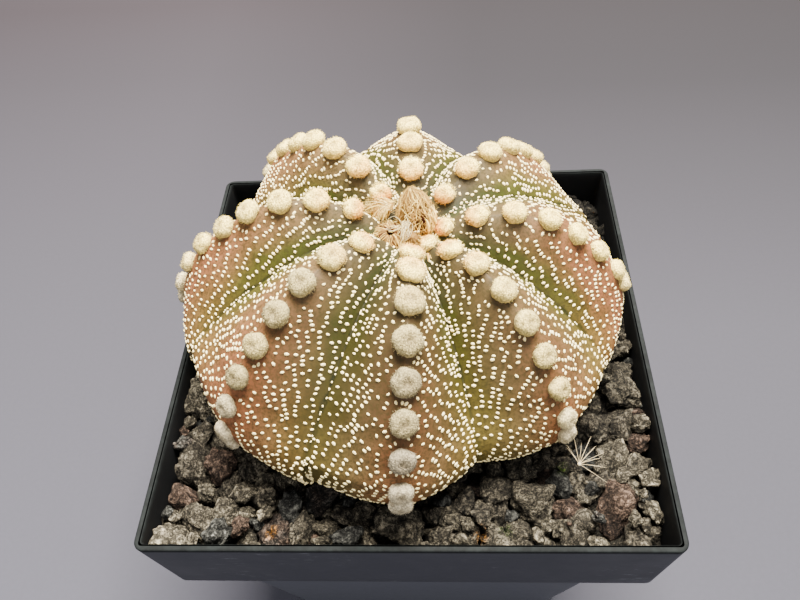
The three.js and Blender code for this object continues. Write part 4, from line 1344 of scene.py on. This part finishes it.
lobe_axes, lobe_foot = standing(LOBE_FOOT, LOBE_LEAN)
dry_body(
    "low_flower_bulb", LOW_OUTLINE, LOW_LEVEL, low_axes, low_foot, torn,
    lambda turn, rise: 0.08 + 0.06 * np.cos(9 * turn), "withered_petal", "dried_flower_low",
)
dry_body(
    "low_flower_lobe", LOBE_OUTLINE, LOBE_LEVEL, lobe_axes, lobe_foot,
    lambda turn, rise: 0.6 * near_turn(turn, -2.4, 0.8), lambda turn, rise: 0.08 + 0 * rise,
    "withered_petal", "dried_flower_low",
)
paths, _ = hair_paths(
    LOW_OUTLINE, LOW_LEVEL, LOW_HAIRS, rise=(0.0, 0.55), climb=(0.22, 0.42), sweep=(-0.3, 0.3),
    lift=(1.02, 1.16), flare=(-0.1, 0.35),
)
film, _ = hair_paths(
    LOBE_OUTLINE, LOBE_LEVEL, LOBE_STRIPS, rise=(0.15, 0.4), climb=(0.35, 0.55), sweep=(-0.4, 0.4),
    lift=(1.1, 1.25), flare=(0.0, 0.2),
)
lobe, _ = hair_paths(
    LOBE_OUTLINE, LOBE_LEVEL, LOBE_HAIRS, rise=(0.0, 0.5), climb=(0.2, 0.5), sweep=(-0.4, 0.4),
    lift=(1.02, 1.12), flare=(0.0, 0.15),
)
# White threads hang from the tall flower over the hole and down its right side
THREAD_FROM = np.array([(-0.6, -1.9, 6.6), (-0.6, -2.2, 6.6), (-1.2, -2.4, 6.4)])
THREAD_TO = np.array([(-1.7, -4.4, 4.3), (-0.9, -4.0, 4.8), (-3.6, -2.3, 5.7)])
number = np.arange(THREADS) % len(THREAD_FROM)
start = THREAD_FROM[number] + random.normal(0, 0.4, (THREADS, 3))
stop = THREAD_TO[number] + random.normal(0, 0.5, (THREADS, 3))
bow = random.normal(0, 0.5, (THREADS, 1, 3)) * np.sin(np.pi * STRIP_SHARE)[None, :, None]
threads = straight(start, stop) + bow + CROWN_CENTRE
lobe = np.concatenate([film, lobe]) @ lobe_axes.T + lobe_foot
all_paths = np.concatenate([paths @ low_axes.T + low_foot, lobe, threads])
width = random.uniform(0.03, 0.08, len(all_paths))
tone = np.clip(random.normal(0.60, 0.34, len(all_paths)), 0.0, 1.0)
strips = slice(len(paths), len(paths) + LOBE_STRIPS)
width[strips] = random.uniform(0.12, 0.30, LOBE_STRIPS)
tone[strips] = random.uniform(0.8, 1.2, LOBE_STRIPS)
width[-THREADS:] = random.uniform(0.025, 0.045, THREADS)
tone[-THREADS:] = random.uniform(0.95, 1.25, THREADS)
dry_hairs(
    "low_flower_hairs", all_paths, width, tone, 0 * tone, "withered_petal", "dried_flower_low"
)

# Wool tuft: fine pale hairs that fan out from one root over a soft heart, mostly to the left
WOOL_FOOT, WOOL_LEAN = (-5.2, 3.3, 3.0), (0.10, -0.15)
WOOL_OUTLINE = np.array([(0, 1.0), (0.3, 1.6), (0.6, 1.45), (0.85, 0.9), (1, 0.3)])
WOOL_LEVEL = np.array([(0, 0.0), (0.5, 1.7), (1, 3.2)])
WOOL_HAIRS = 330
WOOL_ROOT = np.array([-3.6, 2.8, 5.9])
WOOL_TIPS = np.array([
    (-6.2, 7.0, 5.4), (-8.9, 6.0, 4.5), (-8.9, 3.7, 3.9), (-7.6, 1.5, 3.5), (-4.8, -0.1, 4.2),
])
axes, foot = standing(WOOL_FOOT, WOOL_LEAN)
dry_body(
    "wool_heart", WOOL_OUTLINE, WOOL_LEVEL, axes, foot, lambda turn, rise: 0 * rise,
    lambda turn, rise: 0.25 + 0 * rise, "plant_wool", "wool_tuft",
)
part = random.uniform(0, len(WOOL_TIPS) - 1, WOOL_HAIRS)
tips = np.stack([np.interp(part, np.arange(len(WOOL_TIPS)), axis) for axis in WOOL_TIPS.T], axis=1)
roots = WOOL_ROOT + random.normal(0, 0.45, (WOOL_HAIRS, 3))
reach = random.uniform(0.5, 1.05, (WOOL_HAIRS, 1))
tips = roots + reach * (tips + random.normal(0, 0.35, (WOOL_HAIRS, 3)) - roots)
bow = np.array([0, 0, 1.0]) * random.uniform(0.2, 1.2, (WOOL_HAIRS, 1))
paths = straight(roots, tips) + bow[:, None] * np.sin(np.pi * STRIP_SHARE)[None, :, None]
dry_hairs(
    "wool_hairs", paths + CROWN_CENTRE, random.uniform(0.03, 0.07, WOOL_HAIRS),
    random.uniform(0.40, 1.15, WOOL_HAIRS), np.zeros(WOOL_HAIRS), "plant_wool", "wool_tuft",
)


# The gravel: a bed of lava grit with a dressing of crushed, porous stones of 3 to 9 mm tipped in
# round the stem. It stops a few millimetres under the lip and lies lower behind the plant.

GRAVEL_GAP = 0.3
STONE_TOPS = 68.6
BACK_DIP = 3.4
DIP_FROM, DIP_TO = -16.0, 8.0
BED_UNDER_TOPS = 5.5
INNER_HALF = RIM_HALF - WALL - GRAVEL_GAP
SPINE_HUB = np.array([30.1, -28.3])
SPINE_CLEARING = 8.0
SPINE_LEVEL = 67.2
PLANE_COUNT, PIT_COUNT = 12, 18
FACE_POWER = 12
STAIN_REACH = 1.1


def stone_tops(y):
    """The level of the stones' tops, which dips towards the back."""
    return STONE_TOPS - BACK_DIP * smooth_step(DIP_FROM, DIP_TO, y)


def outside_stem(points):
    """How far points lie outside the stem's skin, measured from its centre."""
    x, y, z = np.moveaxis(points - STEM_CENTRE, -1, 0)
    c, s = np.cos(STEM_LEAN), np.sin(STEM_LEAN)
    x, z = c * x - s * z, s * x + c * z
    size = np.sqrt(x * x + y * y + z * z)
    angle = np.degrees(np.arccos(np.clip(z / size, -1, 1)))
    return size - stem_size(np.degrees(np.arctan2(y, x)), angle)


def settled(size, depth, random, rounds=110):
    """Places for stones, let settle as balls: in each round those that overlap move apart, the
    walls and the stem push back, and every stone is drawn to its own depth under the level."""
    half = INNER_HALF - 0.9 * size
    place = np.stack([random.uniform(-half, half), random.uniform(-half, half), 0 * size], axis=1)
    place[:, 2] = stone_tops(place[:, 1]) - depth
    reach = 0.90 * (size[:, None] + size[None])
    for _ in range(rounds):
        gap = place[:, None] - place[None]
        apart = np.linalg.norm(gap, axis=2) + np.eye(len(size))
        push = np.clip(reach - apart, 0, None) * (1 - np.eye(len(size)))
        place += 0.3 * (gap / apart[..., None] * push[..., None]).sum(axis=1)
        inside = np.clip(0.85 * size + 0.3 - outside_stem(place), 0, None)
        away = place[:, :2] - STEM_CENTRE[:2]
        away /= np.linalg.norm(away, axis=1, keepdims=True)
        place[:, :2] += 0.6 * inside[:, None] * away
        place[:, :2] = np.clip(place[:, :2], -half[:, None], half[:, None])
        place[:, 2] += 0.35 * (stone_tops(place[:, 1]) - depth - place[:, 2])
    return place


def even_ball(steps):
    """Directions and triangles of an even ball: the twenty faces of an icosahedron, each divided
    into small triangles whose corners are pushed out to the ball."""
    tall = (1 + 5 ** 0.5) / 2
    corner = np.array([
        np.roll((0, a, b * tall), turn) for turn in range(3) for a in (-1, 1) for b in (-1, 1)
    ])
    near = np.abs(np.linalg.norm(corner[:, None] - corner[None], axis=2) - 2) < 0.01
    a, b, c = np.nonzero(near[:, :, None] & near[None] & near[:, None])
    ordered = (a < b) & (b < c)
    a, b, c = corner[a[ordered]], corner[b[ordered]], corner[c[ordered]]
    inward = np.einsum("ij,ij->i", np.cross(a, b), c) < 0
    b[inward], c[inward] = c[inward].copy(), b[inward].copy()
    i, j = np.meshgrid(np.arange(steps + 1), np.arange(steps + 1), indexing="ij")
    on_face = i + j <= steps
    number = np.cumsum(on_face.ravel()).reshape(on_face.shape) - 1
    i, j = i[on_face], j[on_face]
    share = np.stack([steps - i - j, i, j], axis=1) / steps
    points = np.einsum("pk,kfx->fpx", share, np.stack([a, b, c]))
    p, q = i[i + j < steps], j[i + j < steps]
    lower = np.stack([number[p, q], number[p + 1, q], number[p, q + 1]], axis=1)
    p, q = i[i + j < steps - 1], j[i + j < steps - 1]
    upper = np.stack([number[p + 1, q], number[p + 1, q + 1], number[p, q + 1]], axis=1)
    faces = np.concatenate([lower, upper])
    faces = faces[None] + len(i) * np.arange(20)[:, None, None]
    points = points.reshape(-1, 3)
    points /= np.linalg.norm(points, axis=1, keepdims=True)
    _, kept, merged = np.unique(
        np.round(points, 6), axis=0, return_index=True, return_inverse=True
    )
    return points[kept], merged.reshape(-1)[faces].reshape(-1, 3)


def crushed_stone(ball, size, random):
    """A broken lump: the distance to about a dozen random planes, joined with soft edges by a power
    mean. Folded waves of three lengths leave knobs between sharp creases, and round pits show
    where gas bubbles were. Also returns how far each point stands out, from 0 in a pit to 1."""
    planes = random.normal(size=(PLANE_COUNT, 3))
    planes /= np.linalg.norm(planes, axis=1, keepdims=True)
    facing = np.clip(ball @ planes.T, 0, None) / random.uniform(0.62, 1.0, PLANE_COUNT)
    distance = np.clip((facing ** FACE_POWER).sum(axis=1) ** (-1 / FACE_POWER), 0.5, 1.2)
    where = ball * size + random.uniform(-99, 99, 3)
    knobs = 0.20 * np.abs(waves(where, 1.2 * size, 41))
    knobs += min(0.24, 0.52 / size) * np.abs(waves(where, 2.3, 42))
    knobs += min(0.16, 0.32 / size) * np.abs(waves(where, 1.15, 43))
    pits = random.normal(size=(PIT_COUNT, 3))
    pits /= np.linalg.norm(pits, axis=1, keepdims=True)
    wide = random.uniform(0.22, 0.62, PIT_COUNT) / size
    bowl = np.exp(-(1 - ball @ pits.T) / (wide ** 2 / 2))
    deep = np.minimum(random.uniform(0.3, 0.8, PIT_COUNT) * wide, 0.2)
    depth = (bowl * deep).max(axis=1)
    stretch = random.uniform([1.0, 0.82, 0.68], [1.28, 1.02, 0.92])
    turned = np.linalg.qr(random.normal(size=(3, 3)))[0]
    turned *= np.sign(np.linalg.det(turned))
    lump = (ball * (distance * (0.80 + knobs) - depth)[:, None] * size * stretch) @ turned.T
    low, high = np.percentile(knobs - depth, [6, 94])
    return lump * [1, 1, 0.9], np.clip((knobs - depth - low) / (high - low), 0, 1)


def stain(points, places):
    """How strong a small round stain is at each point, round the places given."""
    gap = np.min([np.hypot(*(points[:, :2] - p).T) for p in places], axis=0)
    return np.exp(-((gap / STAIN_REACH) ** 4))


LAVA_BROWN = (0.135, 0.114, 0.081)
LAVA_TAN = (0.235, 0.200, 0.138)
LAVA_GREY = (0.096, 0.093, 0.080)
LAVA_MAROON = (0.122, 0.080, 0.056)
LAVA_RUST = (0.42, 0.17, 0.015)
LAVA_MOSS = (0.055, 0.10, 0.006)
RUST_PLACES = [(12.6, -40.7), (-22.7, -40.6)]
MOSS_PLACES = [(16.7, -39.7), (27.2, -28.6)]

lava_stone, tree, lava = new_material("lava_stone", Roughness=0.95, Specular_IOR_Level=0.1)
spot = place_in(tree)
cloud = noise(tree, spot, 2.6, 3, 0.6)
shift = sum_of(tree, value_of(tree, "tint"), between(tree, cloud, 0.3, 0.7, -0.02, 0.02))
colour = mixed(tree, between(tree, shift, 0.05, 0.60), LAVA_BROWN, LAVA_TAN)
colour = mixed(tree, between(tree, shift, 0.70, 0.76), colour, LAVA_GREY)
colour = mixed(tree, between(tree, shift, 0.88, 0.93), colour, LAVA_MAROON)
crumbs = between(tree, noise(tree, spot, 0.5, 3, 0.7), 0.42, 0.55)
for name, stain_colour in (("rust", LAVA_RUST), ("moss", LAVA_MOSS)):
    colour = mixed(tree, product(tree, value_of(tree, name), crumbs), colour, stain_colour)


def ridges(size, detail, rough, twist):
    """Crumbled relief: noise folded at its middle value, so that creases run between knobs."""
    fold = maths(tree, "SUBTRACT", noise(tree, spot, size, detail, rough, twist), 0.5)
    return between(tree, maths(tree, "ABSOLUTE", fold), 0.0, 0.17)


coarse = ridges(1.5, 5, 0.7, 0.5)
fine = ridges(0.7, 4, 0.75, 0.3)
grit = noise(tree, spot, 0.2, 2, 0.7)
cells = node(tree, "TexVoronoi", "Distance", {"feature": "F1"}, Vector=spot, Scale=1 / (0.8 * MM))
pitted = sum_of(tree, cells, between(tree, cloud, 0.42, 0.6, 0.35, 0.0))
pitted = between(tree, sum_of(tree, pitted, product(tree, grit, 0.4)), 0.34, 0.50, 0.25, 1)
crust = sum_of(tree, product(tree, coarse, 0.45), product(tree, fine, 0.4))
crust = product(tree, sum_of(tree, crust, product(tree, grit, 0.3)), pitted)
# Painted shade and light in the crust: darker in its creases and pits, lighter on its knobs
shade = between(tree, crust, 0.30, 0.90, 0.12, 2.1)
# More painted shade: darker in hollows and lighter on knobs (stands), darker deeper among the stones
# (deep), and darker where little light reaches (shelter)
for name, at_none, at_full in (("stands", 0.36, 1.46), ("deep", 1, 0.15), ("shelter", 1, 0.12)):
    shade = product(tree, shade, between(tree, value_of(tree, name), 0, 1, at_none, at_full))
feed(tree, lava.inputs["Base Color"], shaded(tree, colour, shade))
feed(tree, lava.inputs["Normal"], bumped(tree, crust, 0.55))

random = np.random.default_rng(7)
TOP_STONES, UNDER_STONES, PEBBLES = 205, 170, 150
LARGE_FROM = 3.3
BALL_STEPS = {"large": 11, "middle": 7, "small": 4}
size = np.concatenate([
    np.sort(random.gamma(6.0, 0.50, TOP_STONES).clip(1.7, 5.1))[::-1],
    random.uniform(1.9, 3.2, UNDER_STONES),
    random.uniform(0.8, 1.5, PEBBLES),
])
depth = np.concatenate([
    0.80 * size[:TOP_STONES] + random.uniform(-0.6, 1.3, TOP_STONES),
    random.uniform(3.6, 5.4, UNDER_STONES),
    random.uniform(0.6, 3.2, PEBBLES),
])
place = settled(size, depth, random)
# The stones under the fallen spines lie lower than the rest
under_spines = np.hypot(*(place[:, :2] - SPINE_HUB).T) < SPINE_CLEARING
resting = SPINE_LEVEL - 0.95 * size
place[:, 2] = np.where(under_spines, np.minimum(place[:, 2], resting), place[:, 2])
balls = {kind: even_ball(steps) for kind, steps in BALL_STEPS.items()}
heaps = {name: [] for name in balls}
for n, (radius, spot) in enumerate(zip(size, place)):
    kind = "large" if radius > LARGE_FROM else "middle" if n < TOP_STONES else "small"
    ball, faces = balls[kind]
    points, stands = crushed_stone(ball, radius, random)
    points += spot
    points[:, :2] = np.clip(points[:, :2], -INNER_HALF, INNER_HALF)
    heaps[kind].append((points, faces, random.uniform(), stands))
for kind, heap in heaps.items():
    count = len(balls[kind][0])
    points = np.concatenate([part[0] for part in heap])
    faces = np.concatenate([part[1] + n * count for n, part in enumerate(heap)])
    name = f"lava_stones_{kind}"
    stones = new_object(name, new_mesh(name, points, faces), lava_stone)
    from_hub = np.hypot(*(points[:, :2] - SPINE_HUB).T)
    # Painted shade: the deeper a point lies under the stones' tops, the darker it is painted
    level = stone_tops(points[:, 1])
    level = np.where(from_hub < SPINE_CLEARING + 2, np.minimum(level, SPINE_LEVEL + 0.3), level)
    below = (level - points[:, 2]) / BED_UNDER_TOPS
    # Little light reaches the stones close to the stem, and hardly any those behind it
    under_stem = 0.72 * (1 - smooth_step(4, 18, outside_stem(points)))
    under_stem = under_stem * smooth_step(-50, 5, points[:, 0])
    add_values(
        stones, tint=np.repeat([part[2] for part in heap], count),
        stands=np.concatenate([part[3] for part in heap]), deep=np.clip(below - 0.15, 0, 1),
        shelter=np.maximum(under_stem, smooth_step(-6, 14, points[:, 1])),
        rust=stain(points, RUST_PLACES), moss=stain(points, MOSS_PLACES),
    )
    finish_piece(stones, "lava_stone", "lava_gravel")

# The bed under them, from the pot's floor up, drawn down under the stem
BED_CORNER, BED_TOP_CORNER = 3.0, 0.6
BED_LEVEL = 60.0
BED_TOP_RINGS = 44
UNDER_STEM_GAP = 0.6
inset = WALL + GRAVEL_GAP
bed_floor = FLOOR_TOP + GRAVEL_GAP
step_height = inner_step + GRAVEL_GAP
floor_inner, step_inner = floor_half - inset, BODY_TOP_HALF - inset
bed_rows = [(h, BED_CORNER, bed_floor) for h in np.linspace(4, floor_inner, 6)]
bed_rows += [
    (h, BED_CORNER, bed_floor + t * (step_height - bed_floor))
    for t in np.linspace(0.1, 1, 8) for h in [floor_inner + t * (step_inner - floor_inner)]
]
bed_rows.append((COLLAR_FOOT_HALF - inset, BED_TOP_CORNER, step_height + WALL / 2))
bed_half = np.interp(BED_LEVEL, [collar_foot, POT_HEIGHT], [COLLAR_FOOT_HALF, RIM_HALF]) - inset
top_half = np.linspace(bed_half, 1.0, BED_TOP_RINGS)
bed_rows += [(h, min(BED_TOP_CORNER, h / 2), BED_LEVEL) for h in top_half]
rings = square_rings(*np.array(bed_rows).T)
upper = rings[-BED_TOP_RINGS:]
upper[..., 2] = stone_tops(upper[..., 1]) - BED_UNDER_TOPS + 0.5 * waves(upper, 3.2, 51)
for level in np.arange(64, 54, -0.5):
    at_level = np.concatenate([upper[..., :2], np.full((*upper.shape[:2], 1), level)], axis=2)
    lowered = level - UNDER_STEM_GAP
    hit = (outside_stem(at_level) < UNDER_STEM_GAP) & (upper[..., 2] > lowered)
    upper[..., 2] = np.where(hit, lowered, upper[..., 2])
bed_skin = skin_over(rings, (0, 0, bed_floor), (0, 0, upper[-1, :, 2].mean()))
bed = new_object("grit_bed", new_mesh("grit_bed", *bed_skin), lava_stone)
bare = np.zeros(len(bed_skin[0]))
# The bed is painted in deep shade, as it lies under the stones
add_values(
    bed, tint=bare + 0.1, deep=bare + 0.8, stands=bare + 0.4, shelter=bare, rust=bare, moss=bare
)
finish_piece(bed, "lava_stone", "lava_gravel")


# The fallen spines: a small dry star of spines, still joined at their base, that dropped off some
# other growth and lies on the stones at the front right.

SPINE_TURNS = np.radians([-38, -12, 10, 24, 43, 62, 78, 96, 117, 128])
SPINE_LENGTHS = np.array([5.6, 4.6, 3.6, 5.0, 4.3, 5.3, 3.8, 5.2, 4.6, 3.3])
SPINE_RISES = np.array([0.2, 0.9, 1.4, 0.8, 1.6, 1.9, 1.2, 1.5, 0.8, 1.7])
SPINE_THICK = 0.058
HUB_HALF = (0.34, 0.34, 0.3)
HUB_LIFT = 0.55
SPINE_DARK = (0.42, 0.32, 0.17)
SPINE_PALE = (0.60, 0.49, 0.30)

lowest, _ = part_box("fallen_spines")
hub = np.array([*SPINE_HUB, lowest[2] / MM + HUB_LIFT])
way = np.stack([np.cos(SPINE_TURNS), np.sin(SPINE_TURNS), 0 * SPINE_TURNS], axis=1)
paths = hub + way[:, None] * (SPINE_LENGTHS[:, None] * STRIP_SHARE)[..., None]
paths[..., 2] += SPINE_RISES[:, None] * STRIP_SHARE ** 0.8 - 0.5 * STRIP_SHARE ** 2
dry_spine, tree, spine = new_material("dry_spine", Roughness=0.6, Specular_IOR_Level=0.3)
streak = noise(tree, place_in(tree), 0.8, 3)
feed(tree, spine.inputs["Base Color"], mixed(tree, streak, SPINE_DARK, SPINE_PALE))
ball, faces = even_ball(3)
points, quads, ends = ribbons(paths, SPINE_THICK, SPINE_THICK)
star = np.concatenate([points, hub + ball * HUB_HALF])
ends = np.concatenate([ends, faces + len(points)])
spines = new_object("fallen_star", new_mesh("fallen_star", star, quads, ends), dry_spine)
finish_piece(spines, "dry_spine", "fallen_spines")
